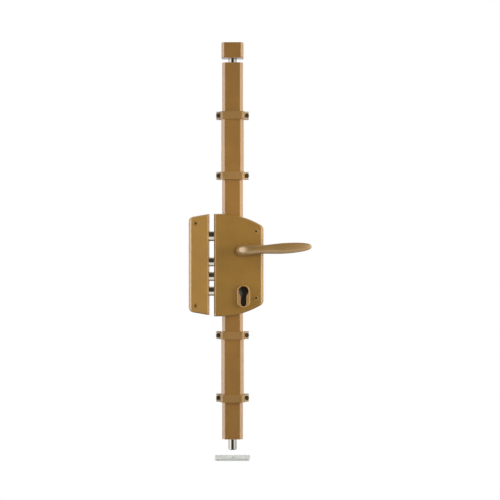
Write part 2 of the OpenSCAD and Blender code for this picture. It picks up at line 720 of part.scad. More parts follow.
// Rack bar of the upper rod, on the right of the pinion
module upper_rack_bar() color(zinc) facing(bar_back, bar_t) difference() {
    root = pinion_x + pinion_r + rack_ded;
    union() {
        translate([pinion_x + pinion_r, pinion_z]) rack_teeth(-rack_behind, rack_ahead);
        translate([root, upper_bar_foot]) square([bar_w, upper_jog + jog_h - upper_bar_foot]);
        translate([rod_axis - lap_w / 2, upper_jog]) square([root + bar_w - rod_axis + lap_w / 2, jog_h]);
        translate([rod_axis - lap_w / 2, upper_jog]) square([lap_w, upper_lap + lap_l - upper_jog]);
    }
    translate([rod_axis, upper_lap + lap_l / 2]) circle(r = lap_screw_r);
}

// Rack bar of the lower rod, on the left of the pinion
module lower_rack_bar() color(zinc) facing(bar_back, bar_t) difference() {
    root = pinion_x - pinion_r - rack_ded;
    union() {
        translate([pinion_x - pinion_r, pinion_z]) mirror([1, 0]) rack_teeth(-rack_ahead, rack_behind);
        translate([root - bar_w, lower_jog - jog_h]) square([bar_w, lower_bar_top - lower_jog + jog_h]);
        translate([root - bar_w, lower_jog - jog_h]) square([rod_axis + lap_w / 2 - root + bar_w, jog_h]);
        translate([rod_axis - lap_w / 2, lower_lap - lap_l]) square([lap_w, lower_jog - lower_lap + lap_l]);
    }
    translate([rod_axis, lower_lap - lap_l / 2]) circle(r = lap_screw_r);
}

// Rod between two heights, with its chamfered pin end up, half lap and screw seat
module rod(low, high) {
    difference() {
        translate([rod_axis, rod_y, low]) rotate_extrude()
            polygon([[0, 0], [rod_d / 2, 0], [rod_d / 2, high - low - pin_chamfer],
                [rod_d / 2 - pin_chamfer, high - low], [0, high - low]]);
        between([rod_axis - rod_d, bar_front, low - 1], [rod_axis + rod_d, 0, low + lap_l + 0.2]);
        rod_out([rod_axis, 0, low + lap_l / 2], lap_screw_r + 0.2, 30);
        rod_out([rod_axis, lap_head_y, low + lap_l / 2], lap_head_r + 0.3, 10);
    }
}
lap_head_y = rod_y - rod_d / 2 + 3;

module upper_rod() color(bright_steel) rod(upper_lap, upper_pin_tip);
module lower_rod() color(bright_steel) mirror([0, 0, 1]) rod(-lower_lap, -lower_pin_tip);

module lap_screw(z) color(dark_steel) difference() {
    union() {
        rod_out([rod_axis, bar_back, z], lap_screw_r - run_fit, bar_back - lap_head_y);
        rod_out([rod_axis, lap_head_y, z], lap_head_r, lap_head_t);
    }
    rod_out([rod_axis, lap_head_y - 1, z], 1.7, 5, $fn = 6);
}
module upper_rod_screw() lap_screw(upper_lap + lap_l / 2);
module lower_rod_screw() lap_screw(lower_lap - lap_l / 2);

// Folded channel that hides a rod
module cover(low, high) color(bronze) difference() {
    channel_between(cover_w, cover_front, cover_depth, low, high);
    translate([0, 0.5, -1]) channel_between(cover_w - 2 * cover_wall, cover_front - cover_wall,
        cover_depth - cover_wall + 0.5, low, high + 2);
}
module sleeve(low, high) color(bronze) difference() {
    channel_between(sleeve_w, sleeve_front, sleeve_depth, low, high);
    translate([0, 0.5, -1]) channel_between(cover_w + 2 * seat_fit, cover_front + seat_fit,
        cover_depth + seat_fit + 0.5, low, high + 2);
}

module upper_cover_near() cover(case_top - cover_in, guide_near_up + cover_lap);
module upper_sleeve() sleeve(guide_near_up - sleeve_lap, guide_far_up + sleeve_lap);
module upper_cover_far() cover(guide_far_up - cover_lap, upper_end);
module lower_cover_near() cover(-guide_near_down - cover_lap, case_foot + cover_in);
module lower_sleeve() sleeve(-guide_far_down - sleeve_lap, -guide_near_down + sleeve_lap);
module lower_cover_far() cover(-lower_end, -guide_far_down + cover_lap);

guide_zs = [guide_far_up, guide_near_up, -guide_near_down, -guide_far_down];
guide_gap = 0.1;
ear_round = 2;

// Saddle guide with two screwed ears
module guide(z) color(bronze) difference() {
    out = sleeve_w / 2 + guide_gap + guide_wall;
    front = sleeve_front / 2 + guide_wall * 0.45;
    depth = sleeve_depth + guide_gap + guide_wall;
    half = [[guide_w / 2, 0], [guide_w / 2, -ear_t + 1], [guide_w / 2 - 1, -ear_t],
        [out + 0.5, -ear_t], [out, -ear_t - 0.5]];
    side = concat(half, arc([front, -depth + out - front], out - front, 0, -90, 6));
    translate([rod_axis, 0, z - guide_l / 2]) linear_extrude(guide_l)
        polygon(concat(side, [for (i = [len(side) - 1:-1:0]) [-side[i][0], side[i][1]]]));
    translate([0, 0.5, 0]) channel_between(sleeve_w + 2 * guide_gap, sleeve_front + guide_gap,
        sleeve_depth + guide_gap + 0.5, z - guide_l, z + guide_l);
    for (s = [-1, 1]) {
        x = rod_axis + s * guide_screws_x / 2;
        rod_out([x, 1, z], fixing_d / 2 + 0.2, ear_t + 2);
        rod_out([x, -ear_t + 3, z], guide_head_d / 2 + 0.3, 5);
        for (e = [-1, 1]) translate([rod_axis + s * guide_w / 2, 0, z + e * guide_l / 2])
            rotate([90, 0, 0]) translate([0, 0, -1]) rotate(45) cube([ear_round, ear_round, 2 * ear_t + 2], center = true);
    }
}

module guide_top() guide(guide_zs[0]);
module guide_upper() guide(guide_zs[1]);
module guide_lower() guide(guide_zs[2]);
module guide_bottom() guide(guide_zs[3]);

// Guide screws: a flat head in the ear's recess, drawn as far as the door face
module guide_screws() color(dark_steel) for (z = guide_zs) for (s = [-1, 1]) difference() {
    x = rod_axis + s * guide_screws_x / 2;
    head_y = -ear_t + 3;
    union() {
        rod_out([x, 0, z], fixing_d / 2, -head_y + 0.1);
        rod_out([x, head_y, z], guide_head_d / 2, 2);
    }
    for (a = [45, 135]) translate([x, head_y - 1.1, z]) rotate([90, a, 0])
        translate([-2.2, -0.5, 0]) cube([4.4, 1, 2]);
}

// Moulded block that carries the rod inside the covers
module rod_bush(z) color(nylon) difference() {
    channel_between(cover_w - 2 * cover_wall - 0.2, cover_front - cover_wall - 0.1,
        cover_depth - cover_wall - 0.1, z - bush_l / 2, z + bush_l / 2);
    translate([rod_axis, rod_y, z - bush_l]) cylinder(r = rod_d / 2 + run_fit, h = 2 * bush_l);
}
module rod_bush_top() rod_bush(guide_zs[0]);
module rod_bush_upper() rod_bush(guide_zs[1]);
module rod_bush_lower() rod_bush(guide_zs[2]);
module rod_bush_bottom() rod_bush(guide_zs[3]);

module keeper_plate() color(zinc) difference() {
    inset = case_wall + seat_fit;
    union() {
        facing(0, plate_t) polygon(keeper_points(inset, inset, inset));
        between([strike_x, flange_front, keeper_foot + 5], [strike_x + plate_t, 0, keeper_top - 5]);
        for (p = keeper_screws) rod_out([p[0], 0, p[1]], post_r, -case_ceiling);
    }
    bolt_holes(strike_x - 1, plate_t + 2, hole_gap);
    for (z = keeper_fixing_z) rod_out([keeper_fixing_x, 1, z], fixing_d / 2, plate_t + 2);
    for (p = keeper_screws) pilot_hole(p);
}

module keeper_cover() color(bronze_light) difference() {
    rounded_box(0, -case_depth,
        function (k) keeper_points(keeper_round_left * k, keeper_round_right * k, keeper_round_top * k),
        keeper_round_left, 6);
    rounded_box(1, case_ceiling,
        function (k) keeper_points(case_wall + keeper_round_left * k, case_wall + keeper_round_right * k,
            case_wall + keeper_round_top * k), keeper_round_left, 5);
    bolt_holes(keeper_right - case_wall - 1, case_wall + 2, hole_gap);
    for (p = keeper_screws) rod_out([p[0], 1, p[1]], screw_hole_r, case_depth + 2);
}

module keeper_cover_screws() color(bronze) for (p = keeper_screws) cover_screw(p);

top_plate_w = top_w - 2 * case_wall - 2 * seat_fit;
lug_w = rod_d + 5;
top_fixing = 26;
module top_keeper_plate() color(zinc) difference() {
    union() {
        between([rod_axis - top_plate_w / 2, -plate_t, top_foot + case_wall + seat_fit],
            [rod_axis + top_plate_w / 2, 0, top_foot + top_h - case_wall - seat_fit]);
        between([rod_axis - lug_w / 2, rod_y - lug_w / 2, top_foot + case_wall + seat_fit],
            [rod_axis + lug_w / 2, 0, top_foot + throw + 2]);
    }
    translate([rod_axis, rod_y, top_foot]) cylinder(r = socket_r, h = top_h);
    for (s = [-1, 1]) rod_out([rod_axis + s * top_fixing / 2, 1, top_foot + top_h / 2], 2, plate_t + 2);
}

module top_keeper_cap() color(bronze) difference() {
    channel_between(top_w, top_w - 2 * top_bevel, top_depth, top_foot, top_foot + top_h);
    translate([0, 0.5, 0]) channel_between(top_w - 2 * case_wall, top_w - 2 * top_bevel - case_wall,
        top_depth - case_wall + 0.5, top_foot + case_wall, top_foot + top_h - case_wall);
    translate([rod_axis, rod_y, top_foot - 1]) cylinder(r = socket_r + 0.3, h = case_wall + 2);
}

module floor_plate() color(zinc) difference() {
    c = 3;
    translate([rod_axis, rod_y, floor_top - floor_t]) linear_extrude(floor_t)
        polygon([for (p = [[1, 1, c, 0], [1, 1, 0, c], [-1, 1, 0, c], [-1, 1, c, 0],
                [-1, -1, c, 0], [-1, -1, 0, c], [1, -1, 0, c], [1, -1, c, 0]])
            [p[0] * (floor_w / 2 - p[3]), p[1] * (floor_d / 2 - p[2])]]);
    translate([rod_axis, rod_y, floor_top - floor_t - 1]) cylinder(r = socket_r, h = floor_t + 2);
    for (x = [-1, 1]) for (y = [-1, 1])
        translate([rod_axis + x * floor_hole_x / 2, rod_y + y * floor_hole_y / 2, floor_top - floor_t - 1]) {
            cylinder(r = fixing_d / 2, h = floor_t + 2);
            translate([0, 0, floor_t - 1]) cylinder(r1 = fixing_d / 2, r2 = fixing_d / 2 + 2.2, h = 2.2);
        }
}

back_plate();
case_cover();
cylinder_rosette();
case_cover_screws();
handle();
spindle();
handle_grub_screw();
handle_bush();
follower();
handle_spring();
latch_bolt();
latch_spring();
latch_guide();
bolt_carriage();
deadbolt_upper();
deadbolt_middle();
deadbolt_lower();
pinion();
pinion_stud();
carriage_stud();
upper_rack_bar();
lower_rack_bar();
upper_rod();
lower_rod();
upper_rod_screw();
lower_rod_screw();
upper_cover_near();
upper_sleeve();
upper_cover_far();
lower_cover_near();
lower_sleeve();
lower_cover_far();
guide_top();
guide_upper();
guide_lower();
guide_bottom();
guide_screws();
rod_bush_top();
rod_bush_upper();
rod_bush_lower();
rod_bush_bottom();
keeper_plate();
keeper_cover();
keeper_cover_screws();
top_keeper_plate();
top_keeper_cap();
floor_plate();
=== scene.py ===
import bmesh
import bpy
import json
from math import acos, cos, degrees, pi, radians, sin, tan
from mathutils import Matrix, Vector


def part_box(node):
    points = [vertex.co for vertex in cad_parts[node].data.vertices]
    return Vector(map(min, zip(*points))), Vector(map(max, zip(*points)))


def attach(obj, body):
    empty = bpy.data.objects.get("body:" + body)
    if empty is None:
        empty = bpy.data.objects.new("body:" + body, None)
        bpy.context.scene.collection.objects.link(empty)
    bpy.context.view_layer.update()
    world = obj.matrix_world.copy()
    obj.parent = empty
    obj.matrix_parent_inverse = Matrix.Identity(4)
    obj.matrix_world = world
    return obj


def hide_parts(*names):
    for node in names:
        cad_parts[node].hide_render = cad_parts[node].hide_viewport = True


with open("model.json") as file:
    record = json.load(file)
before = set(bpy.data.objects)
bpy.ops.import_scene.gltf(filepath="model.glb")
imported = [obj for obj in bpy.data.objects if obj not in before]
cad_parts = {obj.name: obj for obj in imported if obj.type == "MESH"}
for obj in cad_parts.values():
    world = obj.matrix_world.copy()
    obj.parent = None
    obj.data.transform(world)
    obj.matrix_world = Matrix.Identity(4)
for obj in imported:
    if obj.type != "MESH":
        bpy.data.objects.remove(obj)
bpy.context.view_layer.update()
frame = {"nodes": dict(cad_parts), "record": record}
print("frame loaded:", len(frame["nodes"]), "nodes")

mm = 0.001
towardsRoom = Matrix.Rotation(pi / 2, 4, "X")  # drawn flat as x and height, it stands up with its front at -Y
alongX = Matrix.Rotation(pi / 2, 4, "Y")       # drawn upright, it points to the right


# --- shader maths

class Signal:  # an output socket that can be added, scaled and compared
    def __init__(self, tree, socket):
        self.tree = tree
        self.socket = socket

    def combine(self, operation, first, second=0.0, third=0.0):
        made = self.tree.nodes.new("ShaderNodeMath")
        made.operation = operation
        for slot, value in zip(made.inputs, (first, second, third)):
            if isinstance(value, Signal):
                self.tree.links.new(value.socket, slot)
            else:
                slot.default_value = value
        return Signal(self.tree, made.outputs[0])

    def __add__(self, other):
        return self.combine("ADD", self, other)

    def __radd__(self, other):
        return self.combine("ADD", other, self)

    def __sub__(self, other):
        return self.combine("SUBTRACT", self, other)

    def __rsub__(self, other):
        return self.combine("SUBTRACT", other, self)

    def __mul__(self, other):
        return self.combine("MULTIPLY", self, other)

    def __rmul__(self, other):
        return self.combine("MULTIPLY", other, self)

    def __truediv__(self, other):
        return self.combine("DIVIDE", self, other)

    def __pow__(self, other):
        return self.combine("POWER", self, other)

    def __gt__(self, other):
        return self.combine("GREATER_THAN", self, other)

    def __neg__(self):
        return self.combine("MULTIPLY", self, -1.0)

    def between(self, low, high):  # 0 below low, 1 above high, soft in between
        made = self.tree.nodes.new("ShaderNodeMapRange")
        made.interpolation_type = "SMOOTHSTEP"
        made.inputs["From Min"].default_value = low
        made.inputs["From Max"].default_value = high
        self.tree.links.new(self.socket, made.inputs["Value"])
        return Signal(self.tree, made.outputs[0])


class Shader:  # a node tree to which nodes are added by type
    def __init__(self, tree):
        self.tree = tree
        tree.nodes.clear()

    def node(self, kind, settings=None, values=None, output=0):
        made = self.tree.nodes.new("ShaderNode" + kind)
        for key, value in (settings or {}).items():
            if key == "stops":
                ramp = made.color_ramp.elements
                for at, colour in value[2:]:
                    ramp.new(at)
                for stop, (at, colour) in zip(ramp, sorted(value)):
                    stop.position, stop.color = at, (*colour, 1)
            else:
                setattr(made, key, value)
        for key, value in (values or {}).items():
            slot = made.inputs[key]
            if isinstance(value, Signal):
                self.tree.links.new(value.socket, slot)
            else:
                slot.default_value = value
        return Signal(self.tree, made.outputs[output]) if made.outputs else None

    def place(self, scale=(1, 1, 1)):
        here = self.node("TexCoord", output="Object")
        return self.node("Mapping", values={"Vector": here, "Scale": scale})

    def noise(self, size, scale=(1, 1, 1), detail=2.0, roughness=0.5):
        return self.node("TexNoise", values={"Vector": self.place(scale), "Scale": 1 / size, "Detail": detail, "Roughness": roughness})

    def blend(self, factor, first, second):
        settings = {"data_type": "RGBA"}
        values = {0: factor, 6: first if isinstance(first, Signal) else (*first, 1), 7: second if isinstance(second, Signal) else (*second, 1)}
        return self.node("Mix", settings, values, 2)

    def size(self, signal):
        return signal.combine("ABSOLUTE", signal)

    def bump(self, height, strength, distance):
        return self.node("Bump", values={"Height": height, "Strength": strength, "Distance": distance})


def fromScreen(red, green, blue):  # a colour as an image editor shows it, made linear
    return tuple(c / 3294.6 if c <= 10.31 else ((c / 255 + 0.055) / 1.055) ** 2.4 for c in (red, green, blue))


def newShader(name):
    made = bpy.data.materials.new(name)
    made.use_nodes = True
    return made, Shader(made.node_tree)


# --- finishes

def bronzePaint(name, colour, settings):
    made, shader = newShader(name)
    cloud = shader.noise(settings["cloud"], detail=3.0)             # broad unevenness of the coat
    fleck = shader.noise(settings["fleck"], detail=1.0)             # metallic flakes
    peel = shader.noise(settings["peel"], detail=2.0)               # orange peel of the spray
    deep = tuple(c * 0.95 for c in colour)
    pale = tuple(c * 1.05 for c in colour)
    base = shader.blend(cloud.between(0.3, 0.7), deep, pale)
    spark = tuple(min(1, c * 1.5 + 0.02) for c in colour)
    base = shader.blend(fleck.between(0.55, 0.8) * settings["sparkle"], base, spark)
    skin = shader.bump(peel, settings["peelStrength"], settings["peel"] * 0.1)
    grain = shader.node("Bump", values={"Height": fleck, "Strength": settings["fleckStrength"], "Distance": settings["fleck"] * 0.3, "Normal": skin})
    surface = shader.node("BsdfPrincipled", values={
        "Base Color": base, "Metallic": settings["metallic"],
        "Roughness": settings["roughness"] + 0.1 * cloud + 0.06 * fleck,
        "Coat Weight": settings["coat"], "Coat Roughness": settings["coatRoughness"], "Coat IOR": 1.75, "Normal": grain})
    shader.node("OutputMaterial", values={"Surface": surface})
    return made


paintLook = {"cloud": 0.03, "fleck": 0.00045, "peel": 0.0016, "peelStrength": 0.12, "fleckStrength": 0.12,
             "sparkle": 0.25, "metallic": 0.1, "roughness": 0.38, "coat": 0.9, "coatRoughness": 0.2}
casePaint = bronzePaint("casePaint", fromScreen(155, 115, 48), paintLook)
keeperPaint = bronzePaint("keeperPaint", fromScreen(178, 134, 66), paintLook)
coverPaint = bronzePaint("coverPaint", fromScreen(157, 113, 52), paintLook)
leverPaint = bronzePaint("leverPaint", fromScreen(158, 123, 68), paintLook | {"metallic": 0.35, "coatRoughness": 0.22, "coat": 1.0})
rosettePaint = bronzePaint("rosettePaint", fromScreen(174, 131, 70), paintLook)
guidePaint = bronzePaint("guidePaint", fromScreen(155, 116, 62), paintLook | {"roughness": 0.5, "coat": 0.6, "coatRoughness": 0.32})
earPaint = bronzePaint("earPaint", fromScreen(206, 192, 168), paintLook | {"roughness": 0.45, "sparkle": 0.1})  # lighter silver-beige for the ears' front faces


def metal(name, colour, settings):
    made, shader = newShader(name)
    cloud = shader.noise(0.012, detail=3.0)
    lines = shader.noise(settings["grain"], settings["stretch"], detail=2.0)   # drawing or turning marks
    base = shader.blend(cloud.between(0.3, 0.75), tuple(c * settings["dull"] for c in colour), colour)
    surface = shader.node("BsdfPrincipled", values={
        "Base Color": base, "Metallic": settings.get("metallic", 1.0),
        "Roughness": settings["roughness"] + 0.08 * cloud + 0.08 * lines,
        "Normal": shader.bump(lines, settings["relief"], settings["grain"] * 0.2)})
    shader.node("OutputMaterial", values={"Surface": surface})
    return made


boltChrome = metal("boltChrome", fromScreen(230, 222, 206), {"grain": 0.0006, "stretch": (4, 1, 1), "dull": 0.93, "roughness": 0.07, "relief": 0.05})
rodChrome = metal("rodChrome", fromScreen(158, 154, 146), {"grain": 0.0006, "stretch": (1, 1, 0.05), "dull": 0.9, "roughness": 0.1, "relief": 0.06})
zincPlate = metal("zincPlate", fromScreen(196, 197, 194), {"grain": 0.0015, "stretch": (1, 1, 1), "dull": 0.8, "roughness": 0.34, "relief": 0.1})
screwSteel = metal("screwSteel", fromScreen(112, 98, 72), {"grain": 0.0005, "stretch": (1, 1, 1), "dull": 0.6, "roughness": 0.42, "relief": 0.1, "metallic": 0.55})
gearBrass = metal("gearBrass", fromScreen(196, 160, 84), {"grain": 0.0005, "stretch": (1, 1, 1), "dull": 0.85, "roughness": 0.3, "relief": 0.1})
springSteel = metal("springSteel", fromScreen(186, 188, 192), {"grain": 0.0004, "stretch": (1, 1, 1), "dull": 0.85, "roughness": 0.2, "relief": 0.05})


def moulded(name, colour):
    made, shader = newShader(name)
    fine = shader.noise(0.0008, detail=3.0)
    cloud = shader.noise(0.01)
    surface = shader.node("BsdfPrincipled", values={
        "Base Color": shader.blend(cloud, tuple(c * 0.9 for c in colour), colour),
        "Roughness": 0.45 + 0.1 * fine, "Normal": shader.bump(fine, 0.15, 0.0001)})
    shader.node("OutputMaterial", values={"Surface": surface})
    return made


bushNylon = moulded("bushNylon", fromScreen(216, 212, 202))


def greyPlatePaint():
    made, shader = newShader("platePaint")
    cloud = shader.noise(0.02, detail=3.0)
    grit = shader.noise(0.0006, detail=2.0)
    surface = shader.node("BsdfPrincipled", values={
        "Base Color": shader.blend(cloud.between(0.3, 0.7), fromScreen(222, 224, 219), fromScreen(234, 236, 230)),
        "Metallic": 0.35, "Roughness": 0.42 + 0.12 * grit, "Normal": shader.bump(grit, 0.12, 0.0001)})
    shader.node("OutputMaterial", values={"Surface": surface})
    return made


platePaint = greyPlatePaint()
print("finishes made")


# --- tools

def finishPiece(name, shape, finish, body, nodes=(), turn=None, sharpAbove=32):
    if turn:
        bmesh.ops.transform(shape, matrix=turn, verts=shape.verts)
    bmesh.ops.scale(shape, vec=(mm, mm, mm), verts=shape.verts)
    bmesh.ops.remove_doubles(shape, verts=shape.verts, dist=1e-7)
    bmesh.ops.recalc_face_normals(shape, faces=shape.faces)
    data = bpy.data.meshes.new(name)
    shape.to_mesh(data)
    shape.free()
    piece = bpy.data.objects.new(name, data)
    bpy.context.scene.collection.objects.link(piece)
    if finish:
        data.materials.append(finish)
    piece["sharpAbove"] = sharpAbove
    if body:
        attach(piece, body)
        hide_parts(*nodes)
    return piece


def settle(piece):  # modifiers so far become the mesh
    shown = piece.evaluated_get(bpy.context.evaluated_depsgraph_get())
    baked = bpy.data.meshes.new_from_object(shown)
    piece.modifiers.clear()
    piece.data = baked


def carve(piece, cutter):  # cuts a shape out of a piece
    tool = finishPiece("cutter", cutter, None, None)
    cut = piece.modifiers.new("cut", "BOOLEAN")
    cut.solver, cut.use_self = "EXACT", True
    cut.object = tool
    settle(piece)
    bpy.data.objects.remove(tool)


def polish(piece, width=0.0, segments=2, angle=30):  # rounds the edges, then evens the shading
    if width:
        edge = piece.modifiers.new("edges", "BEVEL")
        edge.width, edge.segments = width * mm, segments
        edge.limit_method, edge.angle_limit = "ANGLE", radians(angle)
        edge.harden_normals = False
        settle(piece)
    piece.data.validate()
    for face in piece.data.polygons:
        face.use_smooth = True
    piece.data.set_sharp_from_angle(angle=radians(piece["sharpAbove"]))
    even = piece.modifiers.new("evenShading", "WEIGHTED_NORMAL")
    even.keep_sharp = True


def trace(shape, start, moves, out):  # closed wire of lines and arcs, at a height above the drawing
    before = set(shape.edges)
    first = last = shape.verts.new((*start, out))
    for move in moves:
        if len(move) == 2:
            nextOne = bmesh.ops.extrude_vert_indiv(shape, verts=[last])["verts"][0]
            nextOne.co = (*move, out)
            last = nextOne
        else:
            x, y, turn, steps = move
            swept = bmesh.ops.spin(shape, geom=[last], cent=(x, y, out), axis=(0, 0, 1), angle=radians(turn), steps=steps)
            last = [v for v in swept["geom_last"] if isinstance(v, bmesh.types.BMVert)][0]
    if (last.co - first.co).length < 1e-4:
        bmesh.ops.pointmerge(shape, verts=[first, last], merge_co=first.co)
    else:
        shape.edges.new((last, first))
    return [edge for edge in shape.edges if edge not in before]


def loft(shape, rings, closeBack=False, closeFront=True):  # skin over a stack of wires
    for low, high in zip(rings, rings[1:]):
        bmesh.ops.bridge_loops(shape, edges=low + high)
    if closeFront:
        bmesh.ops.edgeloop_fill(shape, edges=rings[-1])
    if closeBack:
        bmesh.ops.edgeloop_fill(shape, edges=rings[0])


def lathe(shape, outline, steps=64):  # closed solid turned about the height axis, from points of radius and height
    last = shape.verts.new((outline[0][0], 0, outline[0][1]))
    wire = []
    for radius, height in outline[1:]:
        made = bmesh.ops.extrude_vert_indiv(shape, verts=[last])
        last = made["verts"][0]
        last.co = (radius, 0, height)
        wire += made["edges"]
    verts = list({v for edge in wire for v in edge.verts})
    bmesh.ops.spin(shape, geom=verts + wire, cent=(0, 0, 0), axis=(0, 0, 1), angle=2 * pi, steps=steps, use_merge=True)
    bmesh.ops.remove_doubles(shape, verts=shape.verts, dist=1e-5)


def move(shape, verts, place):
    bmesh.ops.translate(shape, vec=place, verts=verts)


bodyOf = {node: body for body, nodes in frame["record"]["behaviour"]["bodies"].items() for node in nodes}


def addPiece(name, shape, finish, node, turn=None, sharpAbove=32):
    return finishPiece(name, shape, finish, bodyOf[node], (node,), turn, sharpAbove)


# --- lock case

case = {"left": -51, "right": 34, "foot": -43, "top": 132, "depth": 32, "wall": 1.5,
        "bow": 136, "bowStart": -40, "corner": 10,
        "round": {"left": 3.2, "right": 5, "top": 1.8}, "roundSteps": 8, "draft": 0.9}


def caseRing(shape, share, out):
    left, right, top = (case["round"][side] * share for side in ("left", "right", "top"))
    left += case["draft"] * out / case["depth"]
    fillet = max(2, case["corner"] - max(right, top))
    reach = case["bow"] - top - fillet
    filletX = case["right"] - right - fillet
    bend = degrees(acos((filletX - case["bowStart"]) / reach))
    low, high = case["foot"] + case["bow"], case["top"] - case["bow"]
    rise = reach * sin(radians(bend))
    return trace(shape, (case["left"] + left, case["foot"] + top), [
        (case["bowStart"], case["foot"] + top),
        (case["bowStart"], low, 90 - bend, 22),
        (filletX, low - rise, bend, 8),
        (filletX + fillet, high + rise),
        (filletX, high + rise, bend, 8),
        (case["bowStart"], high, 90 - bend, 22),
        (case["left"] + left, case["top"] - top)], out)


def roundedRings(shape, ring, depth, rounding, steps):
    rings = [ring(shape, 0, 0)]
    for step in range(steps + 1):
        turn = radians(90 * step / steps)
        rings.append(ring(shape, 1 - max(0, cos(turn)) ** 1.4, depth - rounding * (1 - sin(turn) ** 1.4)))
    return rings


profileHole = {"radius": 8.75, "stem": 10, "foot": -25.5}
bolts = {"depth": 17.5, "heights": [0, 25, 50], "radius": 8, "latchHeight": 94, "latchRadius": 8.75}
caseScrewPlaces = [(21.3, 101.9), (21.3, -11.6)]
channelSize = {"width": 35.6, "front": 25.9, "depth": 20, "wall": 1.2, "axis": -18.9}


def profileOutline(shape, grow, out):
    radius, half, foot = profileHole["radius"] + grow, profileHole["stem"] / 2 + grow, profileHole["foot"] + profileHole["stem"] / 2
    neck = -(radius ** 2 - half ** 2) ** 0.5
    turn = degrees(acos(half / radius))
    return trace(shape, (half, foot), [(half, neck), (0, 0, 180 + 2 * turn, 40), (-half, foot), (0, foot, 180, 16)], out)


def drum(shape, place, radius, length, steps=48, turn=None):  # plain round bar for cutting, upright from place
    made = bmesh.ops.create_cone(shape, cap_ends=True, segments=steps, radius1=radius, radius2=radius, depth=length)["verts"]
    move(shape, made, (0, 0, length / 2))
    if turn:
        bmesh.ops.transform(shape, matrix=turn, verts=made)
    move(shape, made, place)
    return made


def boltHoles(shape, x, length, gap):
    for height in bolts["heights"]:
        drum(shape, (x, height, bolts["depth"]), bolts["radius"] + gap, length, turn=alongX)
    drum(shape, (x, bolts["latchHeight"], bolts["depth"]), bolts["latchRadius"] + gap, length, turn=alongX)


def channelWire(shape, width, front, depth, at):  # section of a folded channel, standing at one height
    slope = (width - front) / 2
    return trace(shape, (width / 2, -1), [(width / 2, depth - slope), (front / 2, depth), (-front / 2, depth), (-width / 2, depth - slope), (-width / 2, -1)], at)


shape = bmesh.new()
loft(shape, roundedRings(shape, caseRing, case["depth"], case["round"]["right"], case["roundSteps"]))
caseCover = addPiece("caseCover", shape, casePaint, "case_cover", towardsRoom)
sheet = caseCover.modifiers.new("sheet", "SOLIDIFY")
sheet.thickness, sheet.offset = case["wall"] * mm, -1
settle(caseCover)
cutter = bmesh.new()
loft(cutter, [profileOutline(cutter, 0.2, -2), profileOutline(cutter, 0.2, 40)], closeBack=True)
drum(cutter, (0, 70, -2), 11, 40)
for x, height in caseScrewPlaces:
    drum(cutter, (x, height, -2), 2.25, 40)
boltHoles(cutter, case["left"] - 1, 4, 0.5)
bmesh.ops.transform(cutter, matrix=towardsRoom, verts=cutter.verts)
for low, high in ((-60, -35), (123.8, 140)):
    mouth = bmesh.new()
    loft(mouth, [channelWire(mouth, 35.9, 25.15, 20.15, low), channelWire(mouth, 35.9, 25.15, 20.15, high)], closeBack=True)
    bmesh.ops.transform(mouth, matrix=Matrix.Translation((channelSize["axis"], 0, 0)) @ Matrix.Scale(-1, 4, (0, 1, 0)), verts=mouth.verts)
    scratch = bpy.data.meshes.new("mouth")
    mouth.to_mesh(scratch)
    cutter.from_mesh(scratch)
    bpy.data.meshes.remove(scratch)
    mouth.free()
carve(caseCover, cutter)
polish(caseCover)
print("case cover made")


# --- keeper

keeper = {"left": -93.3, "right": -58.3, "foot": -41, "top": 132, "depth": 32, "wall": 1.5, "slope": 10, "corner": 9,
          "round": {"left": 5, "right": 2, "top": 2}, "roundSteps": 8, "draft": 1.1}
keeperScrewPlaces = [(-81.4, 115.4), (-81.4, -24.7)]


def keeperRing(shape, share, out):
    left, right, top = (keeper["round"][side] * share for side in ("left", "right", "top"))
    right += keeper["draft"] * out / keeper["depth"]
    slope = radians(keeper["slope"])
    fillet = max(2, keeper["corner"] - max(left, top))
    x = keeper["left"] + left + fillet
    fall = (keeper["right"] - x) * tan(slope) + (top + fillet) / cos(slope)
    side = right * tan(slope) + top / cos(slope)
    return trace(shape, (keeper["right"] - right, keeper["foot"] + side), [
        (keeper["right"] - right, keeper["top"] - side),
        (x - fillet * sin(slope), keeper["top"] - fall + fillet * cos(slope)),
        (x, keeper["top"] - fall, 90 - keeper["slope"], 10),
        (x - fillet, keeper["foot"] + fall),
        (x, keeper["foot"] + fall, 90 - keeper["slope"], 10)], out)


shape = bmesh.new()
loft(shape, roundedRings(shape, keeperRing, keeper["depth"], keeper["round"]["left"], keeper["roundSteps"]))
keeperCover = addPiece("keeperCover", shape, keeperPaint, "keeper_cover", towardsRoom)
sheet = keeperCover.modifiers.new("sheet", "SOLIDIFY")
sheet.thickness, sheet.offset = keeper["wall"] * mm, -1
settle(keeperCover)
cutter = bmesh.new()
for x, height in keeperScrewPlaces:
    drum(cutter, (x, height, -2), 2.25, 40)
boltHoles(cutter, keeper["right"] - 3, 4, 0.5)
bmesh.ops.transform(cutter, matrix=towardsRoom, verts=cutter.verts)
carve(keeperCover, cutter)
polish(keeperCover)
print("keeper cover made")


# --- cover screws

crossScrew = {"head": 4.3, "rim": 0.25, "dome": 0.75, "shank": 1.7, "length": 9, "cross": 2.2, "slot": 0.9, "sink": 2.4}


def crossCutter(cutter, x, height, out, size, half, depth):  # four-winged recess that narrows inwards
    for turn in (0, pi / 2):
        wing = bmesh.ops.create_cube(cutter, size=1)["verts"]
        bmesh.ops.scale(cutter, vec=(2 * size, 2 * half, depth + 1), verts=wing)
        move(cutter, wing, (0, 0, (1 - depth) / 2))
        foot = [v for v in wing if v.co.z < 0]
        bmesh.ops.scale(cutter, vec=(0.45, 0.7, 1), verts=foot)
        bmesh.ops.rotate(cutter, cent=(0, 0, 0), matrix=Matrix.Rotation(turn, 3, "Z"), verts=wing)
        move(cutter, wing, (x, height, out))


